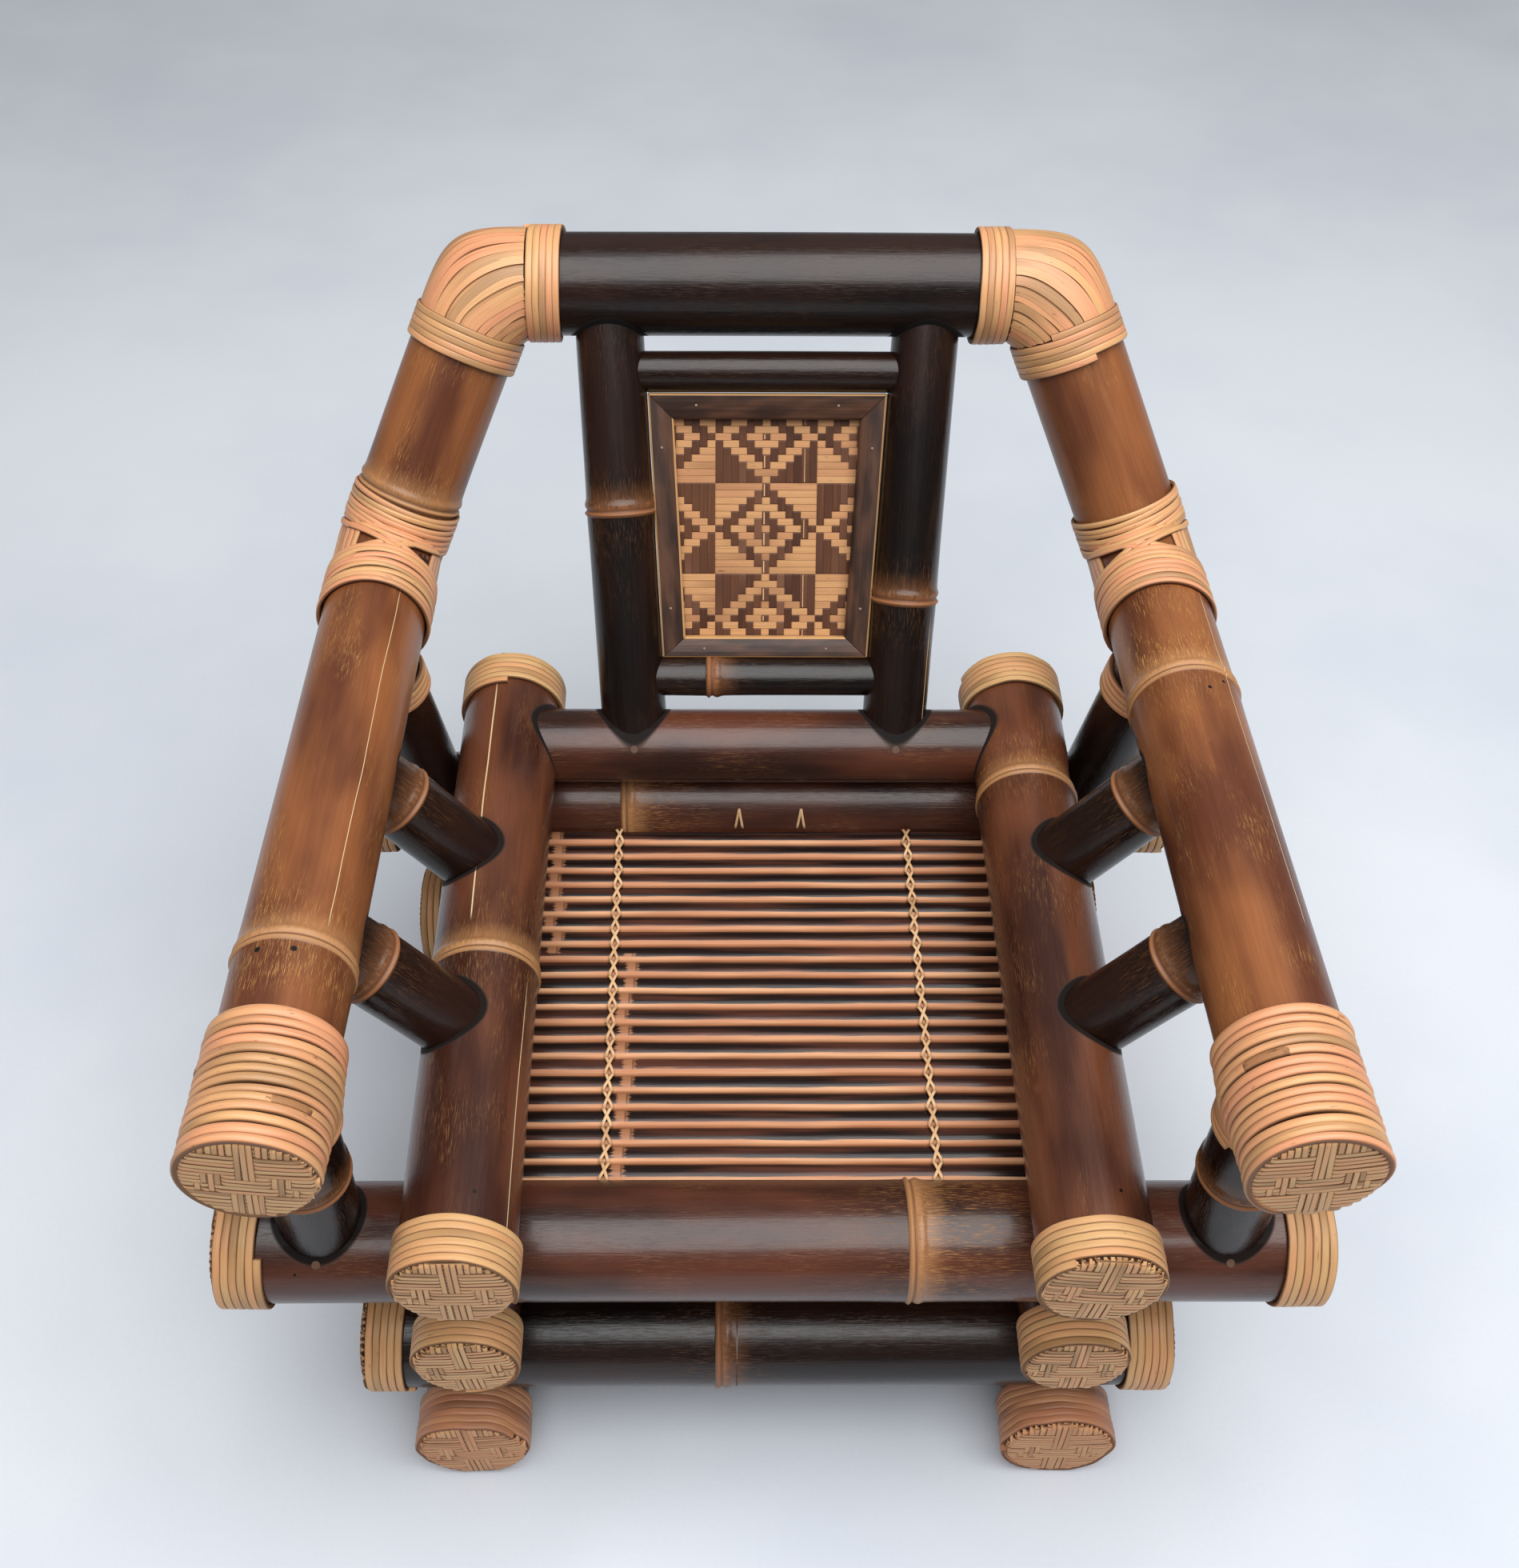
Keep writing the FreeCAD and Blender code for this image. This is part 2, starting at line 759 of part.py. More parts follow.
def buildEndBindings():
    sets = (
        ("side_rail", sideRailEnds()),
        ("spacer_rail", spacerEnds()),
        ("cross_rail", crossEnds()),
        ("lower_cross", lowerEnds()),
    )
    for name, ends in sets:
        write(name + "_bindings", [winding(end, endStrip) for end in ends])
        write(name + "_caps", [cap(end, bindingThickness) for end in ends])
    write("foot_bindings", [onFloor(winding(end, footStrip)) for end in footEnds()])
    write("foot_caps", [onFloor(cap(end, footBindingThickness)) for end in footEnds()])


# Rattan over the corners of the upper frame: a ball with a short neck along each culm
def cornerBall(point, radius, thickness, necks, setback):
    outer = radius + thickness
    ball = Part.makeSphere(outer, point)
    for run, length, culmRadius in necks:
        ball = ball.fuse(rod(outer, point, point + run * length))
    for run, length, culmRadius in necks:
        mouth = point + run * (setback - seatGap)
        ball = ball.cut(rod(culmRadius + seatGap, mouth, point + run * (length + setback)))
    return ball.removeSplitter()


def buildCornerCovers():
    side = 1
    inward = railRun(side)
    up = rearArmRun(side)
    forward = frontArmRun(side) * -1
    setback = cornerSetback(up, inward, armRadius)
    necks = [(inward, elbowRingOffset - seatGap, topRailRadius)]
    necks.append((up * -1, elbowArmRingOffset - seatGap, armRadius))
    writePair("elbow_cover", cornerBall(elbow(side), topRailRadius, elbowThickness, necks, setback))
    setback = cornerSetback(up, forward * -1, armRadius)
    necks = [(forward, kneeSaddleOffset - seatGap, armRadius)]
    necks.append((up, kneeRearBandOffset - seatGap, armRadius))
    writePair("knee_cover", cornerBall(knee(side), armRadius, kneeCoverThickness, necks, setback))


def writePair(name, shape):
    write(name + "_left", shape)
    write(name + "_right", shape.mirror(Vector(0, 0, 0), Vector(1, 0, 0)))


def buildCornerBands():
    elbowRings = []
    kneeBands = []
    kneeSaddles = []
    for side, name in sides():
        up = rearArmRun(side)
        railEnd = (elbow(side), railRun(side), topRailRadius)
        armEnd = (elbow(side), up * -1, armRadius)
        elbowRings.append(winding(railEnd, endStrip, elbowRingOffset))
        elbowRings.append(winding(armEnd, endStrip, elbowArmRingOffset))
        kneeBands.append(winding((knee(side), up, armRadius), endStrip, kneeRearBandOffset))
        lowerEnd = (knee(side), frontArmRun(side) * -1, armRadius)
        post = rod(rearPostRadius + seatGap, *rearPostLine[side])
        saddle = band(lowerEnd, kneeSaddleThickness, kneeSaddleLength, kneeSaddleOffset)
        kneeSaddles.append(saddle.cut(post))
    write("elbow_rings", elbowRings)
    write("knee_bands", kneeBands)
    write("knee_saddles", kneeSaddles)


# Rattan at the front of the arms, and the collars round the heads of the posts
def collar(line, radius, side, coverThickness):
    foot, head = line
    low = along(head, foot, armRadius + collarLength)
    piece = sleeve(radius, collarThickness, low, head)
    return piece.cut(rod(armRadius + coverThickness + seatGap, armFront(side), knee(side)))


def buildArmBindings():
    windings = []
    saddles = []
    caps = []
    collars = []
    for side, name in sides():
        end = (armFront(side), frontArmRun(side), armRadius)
        post = rod(frontPostRadius + seatGap, *frontPostLine[side])
        windings.append(winding(end, armStrip))
        saddle = band(end, armBindingThickness, armSaddleLength, armWindingLength + seatGap)
        saddles.append(saddle.cut(post))
        caps.append(cap(end, armBindingThickness))
        collars.append(collar(frontPostLine[side], frontPostRadius, side, armBindingThickness))
        collars.append(collar(rearPostLine[side], rearPostRadius, side, kneeSaddleThickness))
    write("arm_windings", windings)
    write("arm_saddles", saddles)
    write("arm_caps", caps)
    write("post_collars", collars)
    printLeastGap("end strip", crossRadius, endStrip)
    printLeastGap("foot strip", footRailRadius, footStrip)
    printLeastGap("arm strip", armRadius, armStrip)


buildBase()
buildCrossRails()
buildSideRails()
buildSeatBackRail()
buildUpperFrame()
buildPosts()
buildBackrest()
buildPanel()
buildSeat()
buildFastenings()
buildEndBindings()
buildCornerCovers()
buildCornerBands()
buildArmBindings()
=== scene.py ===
# Bamboo armchair: dark lacquered culms stacked crosswise, every end and corner bound with rattan
import bpy
import math
import random
from mathutils import Matrix, Vector


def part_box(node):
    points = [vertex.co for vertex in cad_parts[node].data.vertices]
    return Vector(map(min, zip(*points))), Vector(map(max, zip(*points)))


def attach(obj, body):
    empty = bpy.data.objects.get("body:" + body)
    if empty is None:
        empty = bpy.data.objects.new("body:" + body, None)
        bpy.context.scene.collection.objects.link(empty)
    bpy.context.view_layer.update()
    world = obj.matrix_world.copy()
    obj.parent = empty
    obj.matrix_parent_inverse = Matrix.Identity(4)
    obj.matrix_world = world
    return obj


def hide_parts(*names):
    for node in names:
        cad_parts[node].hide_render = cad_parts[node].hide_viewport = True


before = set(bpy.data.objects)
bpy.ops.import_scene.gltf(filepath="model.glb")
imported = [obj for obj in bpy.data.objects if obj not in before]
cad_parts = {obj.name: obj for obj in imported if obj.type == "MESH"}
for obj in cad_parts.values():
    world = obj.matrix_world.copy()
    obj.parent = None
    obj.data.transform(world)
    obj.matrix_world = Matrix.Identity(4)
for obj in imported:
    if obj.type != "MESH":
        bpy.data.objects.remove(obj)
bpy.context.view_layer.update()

print("frame loaded:", len(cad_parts), "nodes")


# One socket of a tree, so that sums read as plain expressions
class Wire:
    def __init__(self, web, socket):
        self.web = web
        self.socket = socket

    def calc(self, operation, other=0.0, third=0.0):
        return self.web.add("ShaderNodeMath", {"operation": operation}, {0: self, 1: other, 2: third})

    def __add__(self, other):
        return self.calc("ADD", other)

    __radd__ = __add__

    def __sub__(self, other):
        return self.calc("SUBTRACT", other)

    def __rsub__(self, other):
        return self.web.add("ShaderNodeMath", {"operation": "SUBTRACT"}, {0: other, 1: self})

    def __mul__(self, other):
        return self.calc("MULTIPLY", other)

    __rmul__ = __mul__

    def __neg__(self):
        return self.calc("MULTIPLY", -1.0)

    def size(self):
        return self.calc("ABSOLUTE")

    def above(self, limit):
        return self.calc("GREATER_THAN", limit)

    def ease(self, low, high):  # 0 at low, 1 at high, smooth between
        values = {"Value": self, "From Min": low, "From Max": high}
        return self.web.add("ShaderNodeMapRange", {"interpolation_type": "SMOOTHSTEP"}, values)

    def output(self, name):
        return Wire(self.web, self.socket.node.outputs[name])


class Web:
    def __init__(self, tree):
        self.tree = tree

    def add(self, kind, settings=None, values=None, output=0):
        made = self.tree.nodes.new(kind)
        for key, value in (settings or {}).items():
            setattr(made, key, value)
        for key, value in (values or {}).items():
            if isinstance(value, Wire):
                self.tree.links.new(value.socket, made.inputs[key])
            else:
                made.inputs[key].default_value = value
        return Wire(self, made.outputs[output]) if len(made.outputs) else made

    def reading(self, name, output="Fac"):
        return self.add("ShaderNodeAttribute", {"attribute_name": name}, {}, output)

    def readings(self, *names):
        return [self.reading(name) for name in names]

    def here(self, output="Object"):
        return self.add("ShaderNodeTexCoord", {}, {}, output)

    def part(self, vector, axis):
        return self.add("ShaderNodeSeparateXYZ", {}, {0: vector}, axis)

    def store(self, geometry, name, value, domain="POINT"):
        return self.add("GeometryNodeStoreNamedAttribute", {"data_type": "FLOAT", "domain": domain},
                        {"Geometry": geometry, "Name": name, "Value": value})

    def vector(self, operation, first, second, output=0):
        return self.add("ShaderNodeVectorMath", {"operation": operation}, {0: first, 1: second}, output)

    def dot(self, first, second):
        return self.vector("DOT_PRODUCT", first, second, "Value")

    def join(self, x, y, z):
        return self.add("ShaderNodeCombineXYZ", {}, {"X": x, "Y": y, "Z": z})

    def grain(self, place, scale, detail=2.0, roughness=0.5):
        values = {"Vector": place, "Scale": scale, "Detail": detail, "Roughness": roughness}
        return self.add("ShaderNodeTexNoise", {}, values)

    def mix(self, factor, first, second):
        return self.add("ShaderNodeMix", {"data_type": "RGBA"}, {0: factor, 6: first, 7: second}, 2)

    def shade(self, colour, value):
        return self.add("ShaderNodeHueSaturation", {}, {"Color": colour, "Value": value})

    def bump(self, height, strength, distance):
        values = {"Height": height, "Strength": strength, "Distance": distance}
        return self.add("ShaderNodeBump", {}, values)


def newTree(name, inputs, result):  # a tree with its inputs and one mesh as its result
    tree = bpy.data.node_groups.new(name, "GeometryNodeTree")
    for label, kind, value in inputs:
        socket = tree.interface.new_socket(label, in_out="INPUT", socket_type="NodeSocket" + kind)
        if value is not None:
            socket.default_value = value
    tree.interface.new_socket(result, in_out="OUTPUT", socket_type="NodeSocketGeometry")
    web = Web(tree)
    return tree, web, web.add("NodeGroupInput")


def newObject(name, data):
    made = bpy.data.objects.new(name, data)
    bpy.context.scene.collection.objects.link(made)
    return made


def newMaterial(name, fixed):
    material = bpy.data.materials.new(name)
    material.use_nodes = True
    web = Web(material.node_tree)
    skin = material.node_tree.nodes["Principled BSDF"]
    for key, value in fixed.items():
        skin.inputs[key].default_value = value
    return material, web, skin


def feed(web, skin, links):
    for key, wire in links.items():
        web.tree.links.new(wire.socket, skin.inputs[key])


def colour(red, green, blue):  # screen values 0-255 to scene linear
    def straight(value):
        share = value / 255
        return share / 12.92 if share <= 0.04045 else ((share + 0.055) / 1.055) ** 2.4

    return (straight(red), straight(green), straight(blue), 1.0)


# Lacquered bamboo: long fibres, golden flecks, a tan ring at each node, splits, pins, and painted shade round
# the post holes
bambooLooks = {
    "black": {
        "deep": colour(15, 9, 7), "warm": colour(38, 21, 15), "gold": colour(112, 72, 38),
        "ring": colour(158, 104, 66), "flecks": 0.22, "halo": 0.6, "rough": 0.24, "coat": 0.14,
    },
    "dark": {
        "deep": colour(42, 22, 16), "warm": colour(84, 46, 32), "gold": colour(150, 104, 56),
        "ring": colour(182, 130, 84), "flecks": 0.5, "halo": 1.0, "rough": 0.25, "coat": 0.22,
    },
    "umber": {
        "deep": colour(54, 28, 20), "warm": colour(100, 58, 38), "gold": colour(160, 112, 62),
        "ring": colour(184, 134, 86), "flecks": 0.6, "halo": 1.0, "rough": 0.27, "coat": 0.22,
    },
    "brown": {
        "deep": colour(88, 47, 29), "warm": colour(138, 84, 48), "gold": colour(184, 136, 74),
        "ring": colour(188, 138, 92), "flecks": 0.8, "halo": 1.0, "rough": 0.34, "coat": 0.18,
    },
}


def bambooSkin(name, kind, seed, splits=(), pins=(), holes=(), burst=0.0):
    look = bambooLooks[kind]
    fixed = {"Specular IOR Level": 0.32, "Coat Roughness": 0.12}
    material, web, skin = newMaterial(name, fixed)
    culm = web.reading("culm", "Vector")
    fromNode = web.reading("fromNode")
    place = web.vector("ADD", culm, (seed * 0.731, seed * 1.377, seed * 0.519))
    broad = web.grain(web.vector("MULTIPLY", place, (1, 1, 0.28)), 17, 3)
    streak = web.grain(web.vector("MULTIPLY", place, (1, 1, 0.035)), 430, 3)
    fine = web.grain(web.vector("MULTIPLY", place, (1, 1, 0.02)), 1500, 2)
    tone = web.mix(broad.ease(0.36, 0.62), look["deep"], look["warm"])
    tone = web.shade(tone, 0.72 + streak * 0.38 + fine * 0.24)
    band = web.grain(web.vector("MULTIPLY", place, (1, 1, 0.5)), 26, 2).ease(0.46, 0.66)
    speckle = web.grain(web.vector("MULTIPLY", place, (1, 1, 0.07)), 1350, 4, 0.7).ease(0.50, 0.70)
    near = fromNode.size().ease(0.048, 0.003)
    gold = speckle * (band * look["flecks"] * 0.8 + near * 0.8)
    if burst:  # many golden flecks on one side of the node
        mask = fromNode * math.copysign(1.0, burst)
        gold = gold + speckle * mask.ease(0.001, 0.006) * mask.ease(abs(burst), abs(burst) * 0.35) * 0.8
    gold = gold.calc("MINIMUM", 1.0)
    tone = web.mix(gold, tone, look["gold"])
    halo = fromNode.ease(0.0, 0.003) * fromNode.ease(0.028, 0.006) * (0.25 + streak * 0.35) * look["halo"]
    tone = web.mix(halo, tone, look["ring"])
    shadowSide = fromNode.ease(-0.045, -0.006) * (1 - fromNode.above(0.0)) * 0.45
    tone = web.mix(shadowSide, tone, look["deep"])
    ragged = fromNode + (streak - 0.5) * 0.012
    ring = fromNode.ease(-0.0026, -0.0012) * ragged.ease(0.0090, 0.0030)
    tone = web.mix(ring * 0.78, tone, web.shade(look["ring"], 0.66 + fine * 0.5))
    scar = (fromNode - 0.0026).size().ease(0.0013, 0.0005)
    tone = web.mix(scar * 0.7, tone, colour(84, 52, 34))
    dull = gold * 0.25 + ring * 0.25
    depth = web.part(culm, "Z")
    for angle, low, high, width in splits:
        turn = math.radians(angle)
        aside = web.dot(culm, (-math.sin(turn), math.cos(turn), 0)) + (broad - 0.5) * 0.006
        facing = web.dot(culm, (math.cos(turn), math.sin(turn), 0)).above(0.0)
        line = aside.size().ease(width, width * 0.45) * facing
        line = line * depth.ease(low, low + 0.012) * depth.ease(high, high - 0.03)
        tone = web.mix(line, tone, colour(216, 190, 148))
    for angle, where, radius in pins:
        turn = math.radians(angle)
        aside = web.dot(culm, (-math.sin(turn), math.cos(turn), 0))
        facing = web.dot(culm, (math.cos(turn), math.sin(turn), 0)).above(0.0)
        dot = (aside * aside + (depth - where) * (depth - where)).calc("SQRT")
        tone = web.mix(dot.ease(radius, radius * 0.7) * facing, tone, colour(16, 10, 8))
    if holes:
        here = web.here()
    # painted shade: a near-black ring round each post where it enters this culm, standing for the shade in
    # the gap of its hole
    for foot, run, radius in holes:
        away = web.vector("SUBTRACT", here, tuple(foot))
        climb = web.dot(away, tuple(run))
        aside = web.vector("CROSS_PRODUCT", away, tuple(run))
        gap = web.vector("LENGTH", aside, (0, 0, 0), "Value") - radius
        rim = gap.ease(0.0052, 0.0026) * climb.above(0.0)
        tone = web.mix(rim * 0.95, tone, colour(6, 4, 3))
        dull = dull + rim * 0.8
    rough = look["rough"] + dull + (streak - 0.5) * 0.22
    height = streak * 0.6 + fine * 0.5 + speckle * 0.25
    feed(web, skin, {
        "Base Color": tone,
        "Roughness": rough,
        "Coat Weight": look["coat"] * (1 - dull.calc("MINIMUM", 1.0)),
        "Normal": web.bump(height, 0.30, 0.0006),
    })
    return material


# Rattan strips: fibres along the strip, painted shade darkening its edges where it meets the next strip, now
# and then a small dark knot
rattanLooks = {
    "tan": {"light": colour(200, 158, 108), "pink": colour(202, 148, 102), "dull": colour(160, 120, 78)},
    "blush": {"light": colour(200, 152, 108), "pink": colour(196, 138, 98), "dull": colour(168, 120, 82)},
    "honey": {"light": colour(210, 160, 108), "pink": colour(216, 149, 108), "dull": colour(172, 130, 88)},
    "red": {"light": colour(182, 128, 90), "pink": colour(166, 108, 76), "dull": colour(134, 90, 62)},
    "cord": {"light": colour(216, 178, 134), "pink": colour(204, 160, 116), "dull": colour(176, 136, 96)},
    "panelLight": {"light": colour(192, 144, 98), "pink": colour(184, 132, 92), "dull": colour(162, 116, 80)},
    "panelDark": {"light": colour(92, 58, 40), "pink": colour(70, 42, 30), "dull": colour(112, 76, 58)},
}


def rattanSkin(name, kind, seed=0.0, rough=0.46, edge=0.75, edgeShadeStart=0.74, gloss=0.42):
    look = rattanLooks[kind]
    material, web, skin = newMaterial(name, {"Specular IOR Level": gloss, "Coat Roughness": 0.25})
    along, across, tone = web.readings("along", "across", "tone")
    fibre = web.grain(web.join(along * 32, across * 3.2, tone * 47 + seed), 1.0, 3, 0.6)
    hair = web.grain(web.join(along * 60, across * 9.0, tone * 31 + seed), 1.0, 2)
    slow = web.grain(web.join(along * 5.5, tone * 83 + seed, 0.0), 1.0, 2)
    other = web.grain(web.join(tone * 61 + seed, along * 9.0, 4.0), 1.0, 1)
    base = web.mix(slow.ease(0.38, 0.62), look["light"], look["pink"])
    base = web.mix(other.ease(0.50, 0.72), base, look["dull"])
    base = web.shade(base, 0.70 + fibre * 0.34 + hair * 0.24)
    stain = web.grain(web.join(along * 14, across * 2.2, tone * 71 + seed), 1.0, 3, 0.7).ease(0.54, 0.74)
    base = web.mix(stain * 0.45, base, colour(128, 84, 52))
    spot = web.grain(web.join(along * 110, across * 1.6, tone * 23 + seed), 1.0, 1).ease(0.72, 0.80)
    base = web.mix(spot * 0.55, base, colour(96, 58, 34))
    # painted shade: darker towards both edges of the strip, where the gaps between strips lie in shade; edge
    # sets how much
    rim = across.size().ease(edgeShadeStart, 1.0)
    base = web.mix(rim * edge, base, colour(78, 46, 26))
    feed(web, skin, {
        "Base Color": base,
        "Roughness": rough + (fibre - 0.5) * 0.2 + rim * 0.2,
        "Coat Weight": gloss * 0.45 * (1 - rim),
        "Normal": web.bump(fibre * 0.7 + hair * 0.5, 0.35, 0.0005),
    })
    return material


# Dark shadowed fill seen through the slits of the windings
def fillSkin():
    material, web, skin = newMaterial("shadowFill", {"Specular IOR Level": 0.2})
    here = web.here()
    mottle = web.grain(here, 260, 3)
    feed(web, skin, {
        "Base Color": web.mix(mottle, colour(30, 18, 12), colour(70, 44, 26)),
        "Roughness": 0.75 + mottle * 0.2,
        "Normal": web.bump(mottle, 0.3, 0.0006),
    })
    return material


# Frame strips: dark split bamboo, cream where the cut edge shows
def frameSkin():
    material, web, skin = newMaterial("frameWood", {"Specular IOR Level": 0.34})
    along, across, tone, cut = web.readings("along", "across", "tone", "cut")
    grain = web.grain(web.join(along * 14, across * 9, tone * 40), 1.0, 4, 0.6)
    wear = web.grain(web.join(along * 22, across * 1.5, tone * 17), 1.0, 2)
    base = web.mix(wear.ease(0.35, 0.70), colour(46, 28, 20), colour(84, 54, 38))
    base = web.shade(base, 0.62 + grain * 0.7)
    edge = web.shade(colour(206, 158, 104), 0.66 + grain * 0.5)
    feed(web, skin, {
        "Base Color": web.mix((cut + (grain - 0.5) * 0.3).ease(0.35, 0.65) * 0.9, base, edge),
        "Roughness": 0.34 + grain * 0.2 + cut * 0.2,
        "Normal": web.bump(grain, 0.25, 0.0005),
    })
    return material


# Seat slats: glossy dark skin on top, tan where the edges were cut, tan patches at the nodes
def slatSkin():
    material, web, skin = newMaterial("slatBamboo", {"Specular IOR Level": 0.30, "Coat Roughness": 0.18})
    along, across, tone, cut = web.readings("along", "across", "tone", "cut")
    here = web.here()
    y = web.part(here, "Y")
    nodePlace = y.above(-0.035) * -0.060 - 0.109 + (tone - 0.5) * 0.008
    fromNode = along - nodePlace
    streak = web.grain(web.join(along * 18, across * 5.0, tone * 59), 1.0, 3, 0.6)
    patch = web.grain(web.join(along * 7, across * 0.8, tone * 37), 1.0, 2)
    skinTone = web.mix(patch.ease(0.42, 0.72), colour(26, 15, 12), colour(78, 44, 33))
    skinTone = web.shade(skinTone, 0.7 + streak * 0.6)
    atNode = (fromNode + (streak - 0.5) * 0.010).size().ease(0.0060, 0.0030)
    skinTone = web.mix(atNode * 0.8, skinTone, web.shade(colour(172, 118, 84), 0.7 + streak * 0.5))
    scar = (fromNode - 0.0030).size().ease(0.0010, 0.0004)
    skinTone = web.mix(scar * 0.6, skinTone, colour(60, 34, 24))
    cutTone = web.mix(patch.ease(0.35, 0.6), colour(206, 154, 114), colour(182, 124, 88))
    cutTone = web.shade(cutTone, 0.70 + streak * 0.58)
    bare = (cut + (streak - 0.5) * 0.8 + (patch - 0.5) * 0.9).ease(0.30, 0.62)
    feed(web, skin, {
        "Base Color": web.mix(bare, skinTone, cutTone),
        "Roughness": 0.24 + bare * 0.30 + (streak - 0.5) * 0.16 + atNode * 0.15,
        "Coat Weight": 0.14 * (1 - bare),
        "Normal": web.bump(streak, 0.28, 0.0005),
    })
    return material


def plainWood(name, deep, warm, rough):
    material, web, skin = newMaterial(name, {"Specular IOR Level": 0.35})
    here = web.here()
    grain = web.grain(web.vector("MULTIPLY", here, (1, 0.2, 1)), 500, 3)
    feed(web, skin, {
        "Base Color": web.mix(grain, deep, warm),
        "Roughness": rough + grain * 0.2,
        "Normal": web.bump(grain, 0.2, 0.0004),
    })
    return material


# Skeleton of the chair, in metres
def middle(node):
    low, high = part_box(node)
    return (low + high) / 2


sideRailHeight = middle("seat_side_rail_left").z
crossHeight = middle("front_cross_rail").z
spacerHeight = middle("spacer_rail_left").z
lowerHeight = middle("lower_cross_rail_front").z
footHeight = middle("foot_rail_left").z
frontCrossPlace = middle("front_cross_rail").y
rearCrossPlace = middle("rear_cross_rail").y
seatBackPlace = middle("seat_back_rail").y
topRailPlace = middle("top_rail").y
topRailHeight = middle("top_rail").z

sizes = {
    "footRail": 0.040, "lowerCross": 0.041, "spacer": 0.036, "cross": 0.0415, "sideRail": 0.039,
    "seatBack": 0.030, "topRail": 0.039, "arm": 0.0395, "backPost": 0.026, "backBar": 0.016,
    "frontPost": 0.029, "rearPost": 0.027, "strut": 0.027,
    "footAside": 0.229, "spacerAside": 0.219, "sideAside": 0.209,
    "backFootAside": 0.1055, "backHeadAside": 0.124, "mitreGap": 0.0003,
}
bow = {  # arms and their posts: half widths, and places from the ends and rails they start from
    "frontAside": 0.316, "frontBack": 0.004, "frontRise": 0.134,
    "kneeAside": 0.302, "kneeForward": 0.097, "kneeRise": 0.129, "elbowAside": 0.217,
    "frontPostAside": 0.312, "frontPostHead": 0.077, "rearPostAside": 0.275, "rearPostHead": 0.108,
    "strutPlaces": (-0.1645, -0.0135), "upperBarDrop": 0.0654, "lowerBarRise": 0.0585,
}
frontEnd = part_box("seat_side_rail_left")[0].y


def armFront(side):
    return Vector((side * bow["frontAside"], frontEnd + bow["frontBack"], sideRailHeight + bow["frontRise"]))


def knee(side):
    return Vector((side * bow["kneeAside"], topRailPlace - bow["kneeForward"],
                   sideRailHeight + bow["kneeRise"]))


def elbow(side):
    return Vector((side * bow["elbowAside"], topRailPlace, topRailHeight))


def armRun(side):
    return (knee(side) - armFront(side)).normalized()


def rearRun(side):
    return (elbow(side) - knee(side)).normalized()


frontPost, rearPost, struts, backPost = {}, {}, {}, {}
for side in (-1, 1):
    frontPost[side] = (
        Vector((side * bow["frontPostAside"], frontCrossPlace, crossHeight)),
        armFront(side) + armRun(side) * bow["frontPostHead"])
    rearPost[side] = (
        Vector((side * bow["rearPostAside"], rearCrossPlace, crossHeight)),
        knee(side) - armRun(side) * bow["rearPostHead"])
    struts[side] = []
    for y in bow["strutPlaces"]:
        share = (y - armFront(side).y) / (knee(side).y - armFront(side).y)
        head = armFront(side).lerp(knee(side), share)
        struts[side].append((Vector((side * sizes["sideAside"], y, sideRailHeight)), head))
    backPost[side] = (
        Vector((side * sizes["backFootAside"], seatBackPlace, sideRailHeight)),
        Vector((side * sizes["backHeadAside"], topRailPlace, topRailHeight)))

# Plane of the back posts: up it, and out of it to the front
backUp = Vector((0, topRailPlace - seatBackPlace, topRailHeight - sideRailHeight))
backLength = backUp.length
backUp.normalize()
backOut = Vector((0, -backUp.z, backUp.y))
backFoot = Vector((0, seatBackPlace, sideRailHeight))


def onBack(x, up, out):
    return backFoot + Vector((x, 0, 0)) + backUp * up + backOut * out


def backAside(up):  # how far aside the middle of a back post stands
    return blend((0, sizes["backFootAside"]), (0, sizes["backHeadAside"]), up / backLength)[1]


def addPiece(name, mesh, materials, nodes):
    for material in materials:
        mesh.materials.append(material)
    piece = newObject(name, mesh)
    finish(piece, nodes)
    return piece


def finish(piece, nodes):
    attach(piece, "root")
    if nodes:
        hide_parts(*nodes)


def setValues(mesh, **values):  # one number for each vertex, read by the finishes
    for label, numbers in values.items():
        mesh.attributes.new(label, "FLOAT", "POINT").data.foreach_set("value", numbers)


def tubeFaces(rings, count, base=0):  # sides and the two ends of a closed tube of rings
    faces = []
    for ring in range(rings - 1):
        low = base + ring * count
        for index in range(count):
            after = (index + 1) % count
            faces.append((low + index, low + after, low + count + after, low + count + index))
    faces.append(tuple(base + count - 1 - index for index in range(count)))
    faces.append(tuple(base + (rings - 1) * count + index for index in range(count)))
    return faces


def blend(one, two, share):  # a place between two flat places
    return one[0] + (two[0] - one[0]) * share, one[1] + (two[1] - one[1]) * share


def frameAlong(run):  # two directions square to a run; the first points up, or to the front on posts
    guide = Vector((0, -1, 0)) if abs(run.z) > 0.75 else Vector((0, 0, 1))
    first = (guide - run * guide.dot(run)).normalized()
    return first, run.cross(first).normalized()


# Culms with their node rings
culmDetail = {
    "around": 80, "step": 0.009, "ridge": 0.0017, "bend": 0.0005, "uneven": 0.0018,
    "nodeSteps": (-16, 33), "nodeStep": 0.0007, "endTaper": 0.03,
}
